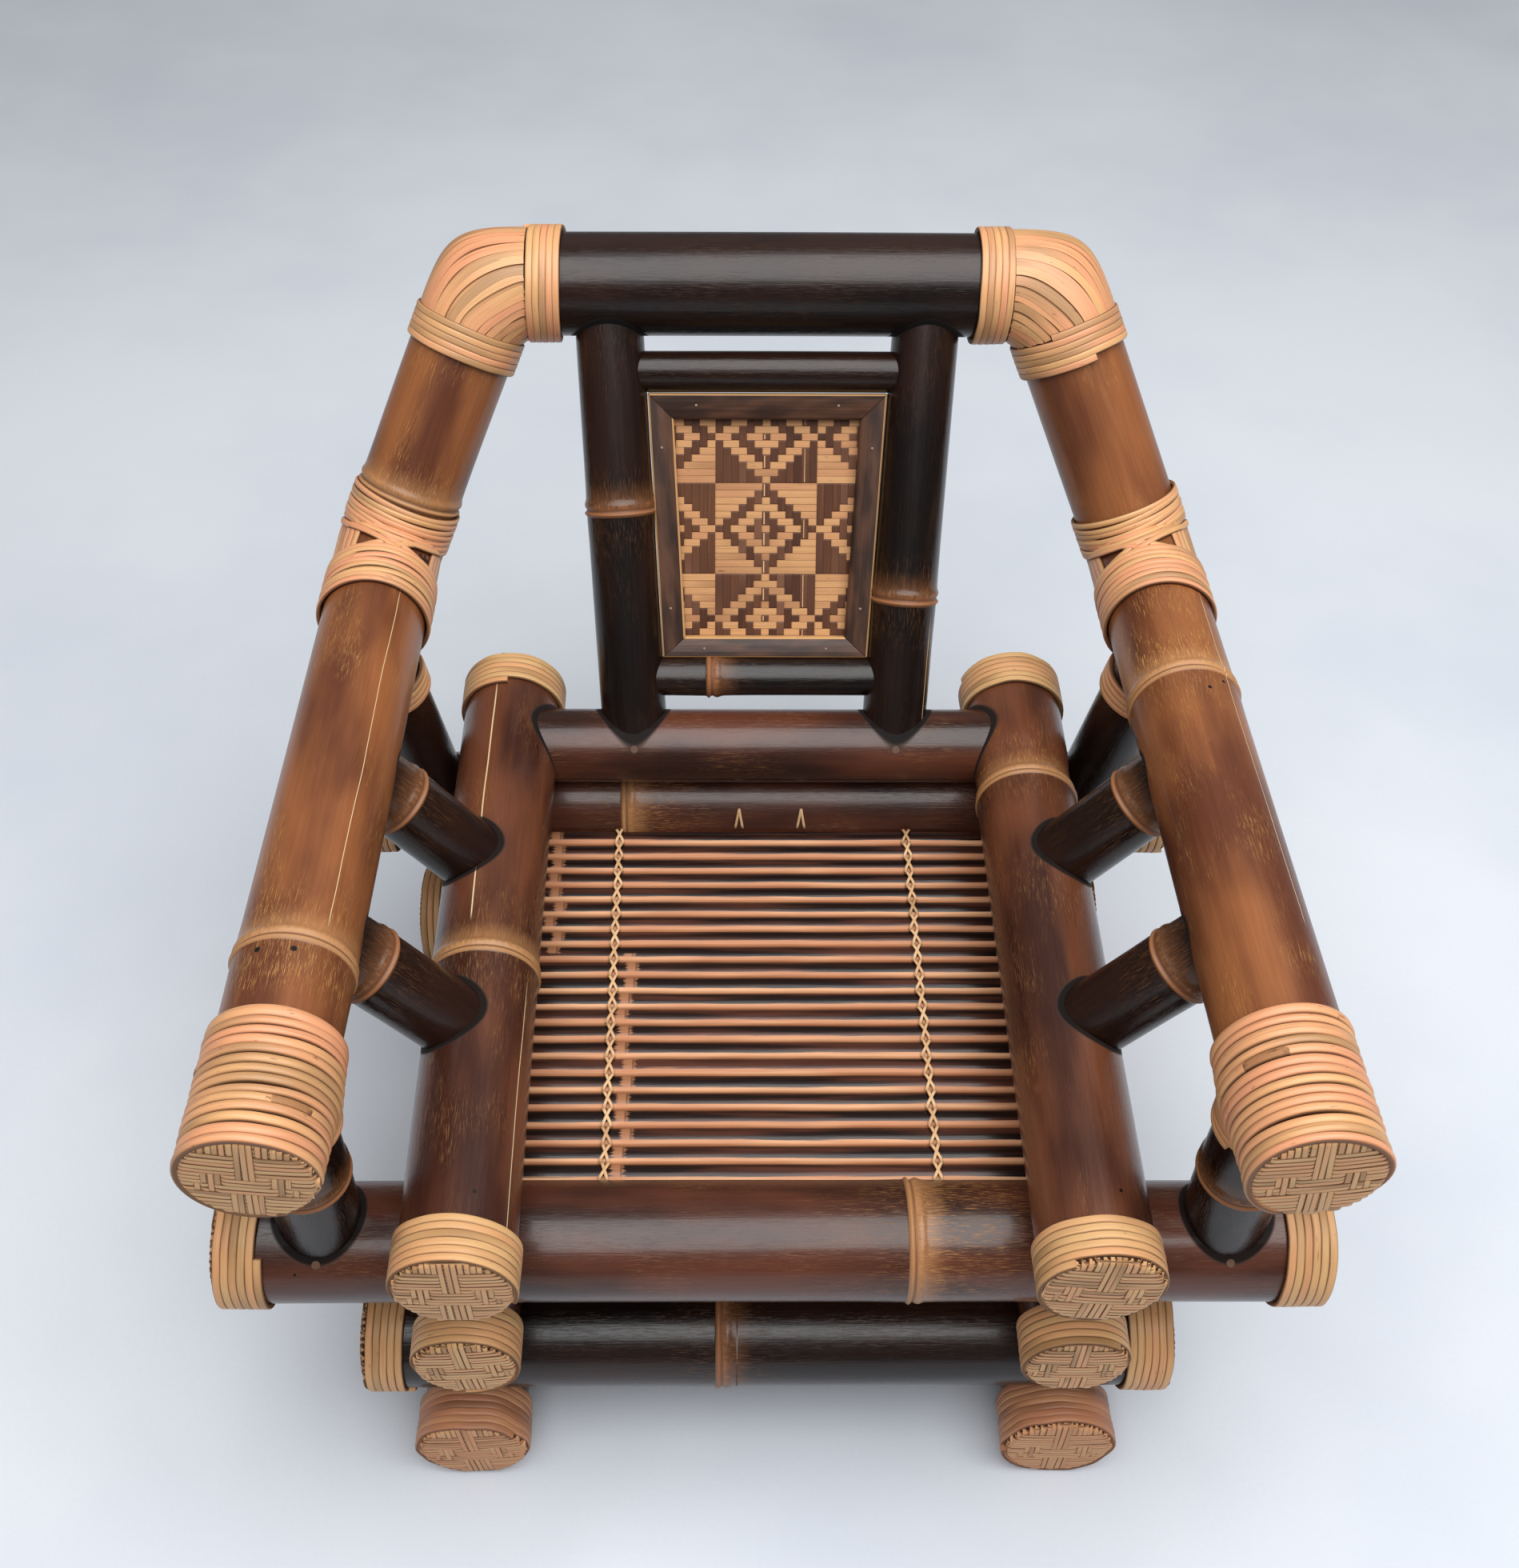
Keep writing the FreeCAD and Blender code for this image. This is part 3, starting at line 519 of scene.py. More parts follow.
# What each culm shows: nodes by distance from its start, the seed of its skin, splits (angle, from, to,
# half width), pins (angle, place, radius), a burst of golden flecks beside its node
culmMarks = {
    "footRailRight": {"nodes": (0.210, 0.400), "seed": 10},
    "footRailLeft": {"nodes": (0.210, 0.400), "seed": 12},
    "spacerRailRight": {"nodes": (0.290,), "seed": 13},
    "spacerRailLeft": {"nodes": (0.290,), "seed": 15},
    "sideRailRight": {
        "nodes": (0.245,), "seed": 16, "pins": ((20, 0.05, 0.0016),),
        "splits": ((-14, 0.27, 0.53, 0.0007), (58, 0.02, 0.235, 0.0005))},
    "sideRailLeft": {"nodes": (0.420,), "seed": 18, "neck": 0.002, "pins": ((20, 0.05, 0.0016),)},
    "armFrontRight": {
        "nodes": (0.148,), "seed": 20, "splits": ((38, 0.16, 0.50, 0.00035),), "burst": -0.05,
        "pins": ((-22, 0.139, 0.0024), (12, 0.139, 0.0024))},
    "armFrontLeft": {
        "nodes": (0.395,), "seed": 22, "splits": ((38, 0.16, 0.50, 0.00035),), "burst": 0.06,
        "pins": ((10, 0.375, 0.0018), (30, 0.385, 0.0018))},
    "armRearRight": {
        "nodes": (0.0215,), "seed": 24,
        "pins": ((130, 0.036, 0.0022), (155, 0.034, 0.0016), (200, 0.029, 0.0012))},
    "armRearLeft": {
        "seed": 26, "pins": ((230, 0.036, 0.0022), (205, 0.034, 0.0016), (160, 0.029, 0.0012))},
    "frontPostRight": {"nodes": (0.092,), "seed": 30},
    "frontPostLeft": {"nodes": (0.092,), "seed": 32},
    "rearPostRight": {"seed": 33},
    "rearPostLeft": {"seed": 35},
    "armStrutFrontRight": {"seed": 36},
    "armStrutFrontLeft": {"seed": 38},
    "armStrutRearRight": {"seed": 39},
    "armStrutRearLeft": {"seed": 41},
    "backPostRight": {"nodes": (0.192,), "seed": 43},
    "backPostLeft": {"nodes": (0.122,), "seed": 45, "splits": ((52, 0.01, 0.118, 0.0005),)},
    "lowerCrossFront": {"nodes": (0.265,), "seed": 51},
    "lowerCrossBack": {"nodes": (0.350,), "seed": 52},
    "frontCrossRail": {
        "nodes": (0.476,), "seed": 54, "burst": 0.11,
        "splits": ((118, 0.49, 0.76, 0.0007),), "pins": ((60, 0.055, 0.0014),)},
    "rearCrossRail": {"nodes": (0.225,), "seed": 56, "burst": 0.09},
    "seatBackRail": {"seed": 58},
    "topRail": {"seed": 60},
    "backBarUpper": {"seed": 63},
    "backBarLower": {"nodes": (0.063,), "seed": 62},
}
strutMarks = {"node": 0.058, "splitEnd": 0.060, "splitStart": 0.05, "splitAngle": -70, "splitWidth": 0.0006}


def nodeSwell(distance):  # the raised scar, the groove behind it and the softer second ring
    ridge = culmDetail["ridge"]
    swell = ridge * math.exp(-(distance / 0.0014) ** 2)
    swell -= ridge * 0.30 * math.exp(-((distance - 0.0030) / 0.0011) ** 2)
    swell += ridge * 0.75 * math.exp(-((distance - 0.0068) / 0.0030) ** 2)
    return swell + ridge * 0.25 * math.exp(-(distance / 0.020) ** 2)


def culmPiece(name, node, slot, start, end, radius, kind, **extras):
    marks = {**culmMarks[name], **extras}
    nodes, seed, neck = marks.pop("nodes", ()), marks.pop("seed"), marks.pop("neck", 0.0)
    run = (end - start).normalized()
    length = (end - start).length
    first, second = frameAlong(run)
    places = {0.0, length}
    place = culmDetail["step"]
    while place < length:
        places.add(place)
        place += culmDetail["step"]
    for spot in nodes:
        for step in range(*culmDetail["nodeSteps"]):
            at = spot + step * culmDetail["nodeStep"]
            if 0 < at < length:
                places.add(at)
    places = sorted(places)
    around = culmDetail["around"]
    lean = seed * 2.3
    vertices, culm, fromNode = [], [], []
    for place in places:
        swell = sum(nodeSwell(place - spot) for spot in nodes)
        gap = min((place - spot for spot in nodes), key=abs, default=1.0)
        pinch = neck * math.exp(-((gap - 0.020) / 0.016) ** 2)
        sway = culmDetail["bend"] * math.sin(math.pi * place / length)
        for index in range(around):
            angle = 2 * math.pi * index / around
            uneven = culmDetail["uneven"] * (
                math.sin(2 * angle + lean) * 0.22 + math.sin(3 * angle + lean * 2 + place * 6) * 0.14)
            fade = min(1.0, min(place, length - place) / culmDetail["endTaper"])
            size = radius + swell - pinch + uneven * fade
            x = math.cos(angle) * size
            y = math.sin(angle) * size
            centre = start + run * place + first * (sway * math.cos(lean)) + second * (sway * math.sin(lean))
            vertices.append(centre + first * x + second * y)
            culm.append((x, y, place))
            fromNode.append(gap)
    faces = []
    for ring in range(len(places) - 1):
        for index in range(around):
            after = (index + 1) % around
            low = ring * around
            high = low + around
            faces.append((low + index, low + after, high + after, high + index))
    for place, ring in ((places[0], 0), (places[-1], len(places) - 1)):
        centre = len(vertices)
        vertices.append(start + run * place)
        culm.append((0, 0, place))
        fromNode.append(1.0)
        for index in range(around):
            one, two = ring * around + index, ring * around + (index + 1) % around
            faces.append((two, one, centre) if ring == 0 else (one, two, centre))
    mesh = bpy.data.meshes.new(name)
    mesh.from_pydata(vertices, [], faces)
    mesh.shade_smooth()
    mesh.attributes.new("culm", "FLOAT_VECTOR", "POINT").data.foreach_set(
        "vector", [value for point in culm for value in point])
    setValues(mesh, fromNode=fromNode)
    material = bambooSkin(name + "Skin", kind, seed, **marks)
    return addPiece(name, mesh, [material], [node])


def hole(line, radius):
    return line[0], (line[1] - line[0]).normalized(), radius


def headHole(line, radius):
    return line[1], (line[0] - line[1]).normalized(), radius


def lengthwise(name, node, slot, x, z, *look, **extras):  # front to back, as long as its solid
    ends = [Vector((x, corner.y, z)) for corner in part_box(node)]
    culmPiece(name, node, slot, *ends, *look, **extras)


def crosswise(name, node, slot, y, z, *look, **extras):
    ends = [Vector((corner.x, y, z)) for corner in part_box(node)]
    culmPiece(name, node, slot, *ends, *look, **extras)


def sideCulms(side, name):
    title = name.capitalize()
    lengthwise("footRail" + title, "foot_rail_" + name, "bamboo_dark",
               side * sizes["footAside"], footHeight, sizes["footRail"], "dark")
    lengthwise("spacerRail" + title, "spacer_rail_" + name, "bamboo_dark",
               side * sizes["spacerAside"], spacerHeight, sizes["spacer"], "dark")
    aside = side * sizes["sideAside"]
    inward = Vector((-side, 0, 0))
    # posts entering this rail, whose holes get a ring of painted shade
    holes = [hole(line, sizes["strut"]) for line in struts[side]]
    holes.append((Vector((aside, seatBackPlace, sideRailHeight)), inward, sizes["seatBack"]))
    lengthwise("sideRail" + title, "seat_side_rail_" + name, "bamboo_brown",
               aside, sideRailHeight, sizes["sideRail"], "umber", holes=holes)
    armHoleShades = [headHole(line, sizes["strut"]) for line in struts[side]]
    armHoleShades += [headHole(rearPost[side], sizes["rearPost"])]
    bend = sizes["arm"] * math.tan(armRun(side).angle(rearRun(side)) / 2) + sizes["mitreGap"]
    culmPiece("armFront" + title, "arm_front_" + name, "bamboo_brown",
              armFront(side), knee(side) - armRun(side) * bend, sizes["arm"], "brown", holes=armHoleShades)
    back = sizes["arm"] * math.tan(rearRun(side).angle(inward) / 2) + sizes["mitreGap"]
    culmPiece("armRear" + title, "arm_rear_" + name, "bamboo_brown",
              knee(side) + rearRun(side) * bend, elbow(side) - rearRun(side) * back, sizes["arm"], "brown")
    culmPiece("frontPost" + title, "front_post_" + name, "bamboo_black",
              *frontPost[side], sizes["frontPost"], "black")
    culmPiece("rearPost" + title, "rear_post_" + name, "bamboo_black",
              *rearPost[side], sizes["rearPost"], "black")
    for line, place in zip(struts[side], ("front", "rear")):
        span = (line[1] - line[0]).length
        extras = {"nodes": (span - strutMarks["node"],)}
        if place == "rear" and side < 0:
            extras["splits"] = ((strutMarks["splitAngle"], strutMarks["splitStart"],
                                 span - strutMarks["splitEnd"], strutMarks["splitWidth"]),)
        culmPiece("armStrut" + place.capitalize() + title, "arm_strut_" + place + "_" + name,
                  "bamboo_black", *line, sizes["strut"], "black", **extras)
    culmPiece("backPost" + title, "back_post_" + name, "bamboo_black",
              *backPost[side], sizes["backPost"], "black")


def buildCulms():
    for side, name in ((-1, "right"), (1, "left")):
        sideCulms(side, name)
    for name in ("front", "back"):
        node = "lower_cross_rail_" + name
        crosswise("lowerCross" + name.capitalize(), node, "bamboo_black", middle(node).y, lowerHeight,
                  sizes["lowerCross"], "black")
    crosswise("frontCrossRail", "front_cross_rail", "bamboo_dark", frontCrossPlace, crossHeight,
              sizes["cross"], "dark", holes=[hole(frontPost[side], sizes["frontPost"]) for side in (-1, 1)])
    crosswise("rearCrossRail", "rear_cross_rail", "bamboo_black", rearCrossPlace, crossHeight,
              sizes["cross"], "dark", holes=[hole(rearPost[side], sizes["rearPost"]) for side in (-1, 1)])
    crosswise("seatBackRail", "seat_back_rail", "bamboo_dark", seatBackPlace, sideRailHeight,
              sizes["seatBack"], "dark", holes=[hole(backPost[side], sizes["backPost"]) for side in (-1, 1)])
    heads = [headHole(backPost[side], sizes["backPost"]) for side in (-1, 1)]
    crosswise("topRail", "top_rail", "bamboo_black", topRailPlace, topRailHeight,
              sizes["topRail"], "black", holes=heads)
    for name, place in (("upper", backLength - bow["upperBarDrop"]), ("lower", bow["lowerBarRise"])):
        half = backAside(place)
        culmPiece("backBar" + name.capitalize(), "backrest_" + name + "_bar", "bamboo_black",
                  onBack(-half, place, 0), onBack(half, place, 0), sizes["backBar"], "black")


# Gathers strips into one closed mesh, with along, across and tone kept for the finish
class StripBundle:
    rounded = ((-1.0, 0.0), (-0.96, 0.56), (-0.70, 0.90), (0.0, 1.0), (0.70, 0.90), (0.96, 0.56), (1.0, 0.0))
    flat = ((-1.0, 0.0), (-0.96, 0.90), (0.0, 1.0), (0.96, 0.90), (1.0, 0.0))

    def __init__(self, seed, flat=False):
        self.section = self.flat if flat else self.rounded
        self.chance = random.Random(seed)
        self.vertices, self.faces, self.kinds = [], [], []
        self.along, self.across, self.tone = [], [], []

    def lay(self, points, outs, width, thickness, kind=0, tone=None, start=0.0):
        tone = self.chance.random() if tone is None else tone
        base = len(self.vertices)
        count = len(self.section)
        travelled = start
        for index, (point, out) in enumerate(zip(points, outs)):
            if index:
                travelled += (point - points[index - 1]).length
            ahead = points[min(index + 1, len(points) - 1)] - points[max(index - 1, 0)]
            sideways = ahead.cross(out).normalized()
            half = (width[index] if isinstance(width, list) else width) / 2
            for share, rise in self.section:
                self.vertices.append(point + sideways * (share * half) + out * (rise * thickness))
                self.along.append(travelled)
                self.across.append(share)
                self.tone.append(tone)
        for ring in range(len(points) - 1):
            low = base + ring * count
            for index in range(count):
                after = (index + 1) % count
                self.faces.append((low + index, low + count + index, low + count + after, low + after))
                self.kinds.append(kind)
        self.faces.append(tuple(base + index for index in range(count)))
        last = base + len(points) * count - 1
        self.faces.append(tuple(last - index for index in range(count)))
        self.kinds += [kind, kind]

    def surface(self, rows, kind=0):  # closed tube of rings, used for the fill under the strips
        base = len(self.vertices)
        count = len(rows[0])
        for row in rows:
            for point in row:
                self.vertices.append(point)
                self.along.append(0.0)
                self.across.append(0.0)
                self.tone.append(0.5)
        faces = tubeFaces(len(rows), count, base)
        self.faces += faces
        self.kinds += [kind] * len(faces)

    def mesh(self, name):
        mesh = bpy.data.meshes.new(name)
        mesh.from_pydata(self.vertices, [], self.faces)
        setValues(mesh, along=self.along, across=self.across)
        return mesh

    def piece(self, name, materials, nodes, slot):
        mesh = self.mesh(name)
        if self.section is self.rounded:
            mesh.shade_smooth()
        setValues(mesh, tone=self.tone)
        mesh.polygons.foreach_set("material_index", self.kinds)
        return addPiece(name, mesh, materials, nodes)


windDetail = {
    "resolution": 56, "swellScale": 34, "slideScale": 26, "swell": 30, "slide": 2.4,
    "narrow": 0.82, "broaden": 0.36, "rounding": 0.46,
}


# Winding of one strip round a culm, up Z from its end, as a node tree
def windingTree():
    tree, web, given = newTree("rattanWinding", (
        ("Radius", "Float", 0.042), ("Turns", "Float", 5.0), ("Pitch", "Float", 0.006),
        ("Width", "Float", 0.0062), ("Thickness", "Float", 0.0036), ("Wobble", "Float", 0.001),
        ("Seed", "Float", 0.0), ("Finish", "Material", None)), "Winding")
    radius, turns, pitch = given.output("Radius"), given.output("Turns"), given.output("Pitch")
    wobble, seed = given.output("Wobble"), given.output("Seed")
    line = web.add("GeometryNodeCurveSpiral", {}, {
        "Resolution": windDetail["resolution"], "Rotations": turns, "Start Radius": radius,
        "End Radius": radius, "Height": turns * pitch, "Reverse": False})
    travelled = web.add("GeometryNodeSplineParameter", {}, {}, "Length")
    line = web.store(line, "along", travelled)
    line = web.store(line, "tone", seed * 0.137)
    here = web.add("GeometryNodeInputPosition")
    apart = web.add("ShaderNodeSeparateXYZ", {}, {0: here})
    shifted = web.vector("ADD", here, web.join(seed, seed * 1.7, 0.0))
    loose = web.grain(shifted, windDetail["swellScale"], 1) - 0.5
    slide = web.grain(web.vector("ADD", shifted, (3.1, 0.4, 1.9)), windDetail["slideScale"], 1) - 0.5
    swell = 1 + loose * wobble * windDetail["swell"]
    moved = web.join(apart.output("X") * swell, apart.output("Y") * swell,
                     apart.output("Z") + slide * wobble * windDetail["slide"])
    line = web.add("GeometryNodeSetPosition", {}, {"Geometry": line, "Position": moved})
    line = web.add("GeometryNodeSetCurveNormal", {"mode": "Z_UP"}, {"Curve": line})
    breadth = web.grain(web.join(travelled * 9, seed * 3.3, 0.0), 1.0, 1)
    line = web.add("GeometryNodeSetCurveRadius", {}, {
        "Curve": line, "Radius": windDetail["narrow"] + breadth * windDetail["broaden"]})
    ring = web.add("GeometryNodeCurvePrimitiveQuadrilateral", {}, {
        "Width": given.output("Thickness"), "Height": given.output("Width")})
    ring = web.add("GeometryNodeFilletCurve", {"mode": "POLY"}, {
        "Curve": ring, "Count": 3, "Radius": given.output("Thickness") * windDetail["rounding"],
        "Limit Radius": True})
    place = web.add("GeometryNodeInputPosition")
    rise = web.part(place, "Y") * 2
    ring = web.store(ring, "across", rise.calc("DIVIDE", given.output("Width")))
    body = web.add("GeometryNodeCurveToMesh", {}, {"Curve": line, "Profile Curve": ring, "Fill Caps": True})
    body = web.add("GeometryNodeRealizeInstances", {}, {"Geometry": body})
    body = web.add("GeometryNodeSetMaterial", {}, {"Geometry": body, "Material": given.output("Finish")})
    result = tree.nodes.new("NodeGroupOutput")
    tree.links.new(body.socket, result.inputs["Winding"])
    return tree


def setInputs(modifier, tree, values):
    for item in tree.interface.items_tree:
        if item.in_out == "INPUT" and item.name in values:
            modifier[item.identifier] = values[item.name]


# Runs a tree once and keeps its result as a plain mesh
def meshFromTree(tree, values):
    holder = newObject("holder", bpy.data.meshes.new("holder"))
    modifier = holder.modifiers.new("tree", "NODES")
    modifier.node_group = tree
    setInputs(modifier, tree, values)
    bpy.context.view_layer.update()
    graph = bpy.context.evaluated_depsgraph_get()
    mesh = bpy.data.meshes.new_from_object(holder.evaluated_get(graph))
    holder.modifiers.remove(modifier)
    bpy.data.objects.remove(holder)
    return mesh


def joinMeshes(name, meshes, nodes):
    parts = [newObject(name, mesh) for mesh in meshes]
    with bpy.context.temp_override(active_object=parts[0], selected_editable_objects=parts):
        bpy.ops.object.join()
    piece = parts[0]
    piece.name = name
    piece.data.shade_smooth()
    finish(piece, nodes)
    return piece


def placeAt(mesh, point, run, spin=0.0):
    first, second = frameAlong(run)
    turn = Matrix((first, second, run)).transposed().to_4x4()
    mesh.transform(Matrix.Translation(point) @ turn @ Matrix.Rotation(spin, 4, "Z"))
    return mesh


bands = {
    "sideRail": {"turns": 5.6, "pitch": 0.0056, "width": 0.0062, "thickness": 0.0034, "wobble": 0.0012},
    "foot": {"turns": 7.2, "pitch": 0.0052, "width": 0.0066, "thickness": 0.0044, "wobble": 0.0028},
    "elbow": {"turns": 5.1, "pitch": 0.0050, "width": 0.0056, "thickness": 0.0032, "wobble": 0.0008},
    "collar": {"turns": 4.2, "pitch": 0.0056, "width": 0.0062, "thickness": 0.0042, "wobble": 0.0010},
}


def windOne(tree, look, point, run, radius, seed, finishing, lift=0.0):
    size = bands[look]
    values = {
        "Radius": radius + 0.0003 + size["thickness"] / 2 + lift, "Turns": size["turns"],
        "Pitch": size["pitch"], "Width": size["width"], "Thickness": size["thickness"],
        "Wobble": size["wobble"], "Seed": float(seed), "Finish": finishing,
    }
    return placeAt(meshFromTree(tree, values), point + run * (size["width"] / 2), run, seed * 1.9)


# Plaited caps on the culm ends
capDetail = {
    "cell": 0.0041, "width": 0.0040, "thickness": 0.0011, "lift": 0.0007, "fold": 0.0026, "inset": 0.0010,
    "dome": 0.0012, "sides": 40, "stray": 0.0003, "skew": 0.0006,
    "board": ((1.0, -0.0030), (1.0, -0.0004), (0.94, 0.0002), (0.50, 0.0005), (0.05, 0.0006)),
}


def uprightOver(i, j):  # a row of short uprights on top, a bundle in the middle, a block on each side
    wide = abs(i)
    if j >= 7:
        return wide <= 7
    if j >= 2:
        return wide <= 1
    if j >= -1:
        return 4 <= wide <= 6 or (wide <= 1 and j == 1)
    if j >= -3:
        return wide in (5, 7)
    return wide <= 2


def plaitCap(bundle, point, outward, radius, spin=0.0):
    first, second = frameAlong(outward)
    first, second = (first * math.cos(spin) + second * math.sin(spin),
                     second * math.cos(spin) - first * math.sin(spin))
    cell = capDetail["cell"]
    reach = radius - capDetail["inset"]
    count = int(reach / cell)

    def spot(x, y, rise):
        return point + second * x + first * y + outward * rise

    rows = []
    for size, rise in capDetail["board"]:
        ring = []
        for index in range(capDetail["sides"]):
            angle = 2 * math.pi * index / capDetail["sides"]
            ring.append(spot(-math.cos(angle) * reach * size, math.sin(angle) * reach * size, rise))
        rows.append(ring)
    bundle.surface(rows, 1)
    for upright in (False, True):
        for line in range(-count, count + 1):
            offset = line * cell + bundle.chance.uniform(-capDetail["stray"], capDetail["stray"])
            half = math.sqrt(max(reach ** 2 - offset ** 2, 0.0))
            if half < cell:
                continue
            steps = max(6, int(2 * half / (cell / 2)))
            skew = bundle.chance.uniform(-capDetail["skew"], capDetail["skew"])
            points, outs = [], []
            for step in range(steps + 1):
                at = -half + 2 * half * step / steps
                cross = round(at / cell)
                over = uprightOver(line, cross) if upright else not uprightOver(cross, line)
                dome = capDetail["dome"] * (1 - (at * at + offset * offset) / reach ** 2)
                rise = 0.0003 + dome + capDetail["lift"] * (1.0 if over else -0.2)
                if step in (0, steps):
                    rise -= capDetail["fold"]
                drift = offset + skew * at / max(half, 0.001)
                points.append(spot(drift, at, rise) if upright else spot(at, drift, rise))
                outs.append(outward)
            for index in range(1, len(points) - 1):  # eases the steps between over and under
                points[index] = points[index] * 0.6 + (points[index - 1] + points[index + 1]) * 0.2
            width = capDetail["width"] * bundle.chance.uniform(0.90, 1.04)
            bundle.lay(points, outs, width, capDetail["thickness"], 0)


def lengthEnds(names, aside, height, radius):
    ends = []
    for side, name in ((-1, "right"), (1, "left")):
        for corner, back in zip(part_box(names + name), (1, -1)):
            ends.append((Vector((side * aside, corner.y, height)), Vector((0, back, 0)), radius))
    return ends


def crossEnds(*nodes, radius):
    ends = []
    for node in nodes:
        place = middle(node)
        for corner, back in zip(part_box(node), (1, -1)):
            ends.append((Vector((corner.x, place.y, place.z)), Vector((back, 0, 0)), radius))
    return ends


def buildEnds(tree, tan, red, blush, fill):
    sets = (
        ("sideRail", "side_rail",
         lengthEnds("seat_side_rail_", sizes["sideAside"], sideRailHeight, sizes["sideRail"])),
        ("spacerRail", "spacer_rail",
         lengthEnds("spacer_rail_", sizes["spacerAside"], spacerHeight, sizes["spacer"])),
        ("crossRail", "cross_rail", crossEnds("front_cross_rail", "rear_cross_rail", radius=sizes["cross"])),
        ("lowerCross", "lower_cross",
         crossEnds("lower_cross_rail_front", "lower_cross_rail_back", radius=sizes["lowerCross"])),
        ("foot", "foot", lengthEnds("foot_rail_", sizes["footAside"], footHeight, sizes["footRail"])),
    )
    seed = 1
    for title, prefix, ends in sets:
        isFoot = title == "foot"
        finishing = red if isFoot else tan
        slot = "foot_rattan" if isFoot else "rattan"
        meshes = []
        caps = StripBundle(len(title) * 7, True)
        for point, run, radius in ends:
            look = "foot" if isFoot else "sideRail"
            start = point - run * 0.0038
            meshes.append(windOne(tree, look, start, run, radius, seed, finishing))
            size = bands[look]["thickness"]
            plaitCap(caps, point - run * 0.0008, -run, radius + size * 0.55, (seed % 3 - 1) * 0.10)
            seed += 1
        if isFoot:
            for mesh in meshes:
                floorFlat(mesh)
        joinMeshes(title + "Bands", meshes, [prefix + "_bindings"])
        caps.piece(title + "Caps", [blush if isFoot else tan, fill], [prefix + "_caps"], slot)


def floorFlat(mesh):  # strips that stand on the floor are pressed flat there
    for vertex in mesh.vertices:
        vertex.co.z = max(vertex.co.z, 0.0)


# Elbows and knees of the upper frame
# A point of the wrapped corner: angle round the culm (0 outside the bend), distance from the bisector
def bendPoint(corner, firstRun, secondRun, radius, angle, place):
    turn = math.pi - firstRun.angle(secondRun)
    axis = firstRun.cross(secondRun).normalized()
    outer = -(firstRun + secondRun).normalized()
    inPlane, offPlane = math.cos(angle), math.sin(angle)
    run = secondRun if place > 0 else firstRun
    if inPlane > 0:
        half = radius * inPlane * turn / 2
        lean = max(-1.0, min(1.0, place / half)) * turn / 2
        beyond = max(abs(place) - half, 0.0)
    else:
        lean = math.copysign(turn / 2, place)
        beyond = abs(place) - inPlane * radius * math.tan(turn / 2)
    flat = outer * math.cos(lean) + axis.cross(outer) * (-math.sin(lean))
    if flat.dot(run) * flat.dot(run) > 0.02 and abs(abs(lean) - turn / 2) < 1e-6:
        flat = outer * math.cos(lean) + axis.cross(outer) * math.sin(lean)
    out = flat * inPlane + axis * offPlane
    return corner + out * radius + run * beyond, out


def ringPlace(radius, turn, angle, distance):  # place of a point this far along the culm's axis
    share = math.cos(angle)
    return distance + radius * share * (turn / 2 if share > 0 else math.tan(turn / 2))


cornerDetail = {
    "around": 48,
    "elbowBase": 0.0404, "elbowThickness": 0.0016, "elbowStrips": 40, "elbowReach": 0.033,
    "kneeBase": 0.0400, "kneeStrips": 44, "kneeFill": (0.088, 0.041), "kneeReach": (0.056, 0.030),
    "kneeOpen": -0.72, "kneeSlant": 0.10, "kneeWidth": 0.0061, "kneeThickness": 0.0016,
    "crossLifts": (0.0006, 0.0012, 0.0004, 0.0010), "crossWidth": 0.0056, "crossThickness": 0.0024,
    "upperStrands": 7, "upperPitch": 0.0042, "upperWidth": 0.0050, "upperThickness": 0.0024,
    "lowerStrands": 8, "lowerPitch": 0.0056, "lowerWidth": 0.0061, "lowerThickness": 0.0028,
}


# One strand over the elbow: full over the outer dome, easing to a straight run on the inner side
def elbowArc(corner, armDown, railRun, radius, angle, count):
    axis = armDown.cross(railRun).normalized()
    outer = math.cos(angle)
    reach = cornerDetail["elbowReach"]
    ends = []
    for run, turned in ((armDown, -1), (railRun, 1)):
        flat = axis.cross(run) * turned
        if flat.dot(armDown + railRun) > 0:
            flat = -flat
        out = flat * outer + axis * math.sin(angle)
        ends.append((corner + run * reach + out * radius, out, run))
    (start, startOut, startRun), (end, endOut, endRun) = ends
    turn = math.pi - armDown.angle(railRun)
    arm = max(reach + outer * radius * math.tan(turn / 2), 0.004)
    pull = arm * (0.30 + 0.62 * max(outer, 0.0))
    first, second = start - startRun * pull, end - endRun * pull
    points, outs = [], []
    for step in range(count + 1):
        t = step / count
        u = 1 - t
        points.append(start * u ** 3 + first * (3 * u * u * t) + second * (3 * u * t * t) + end * t ** 3)
        outs.append((startOut * u + endOut * t).normalized())
    return points, outs


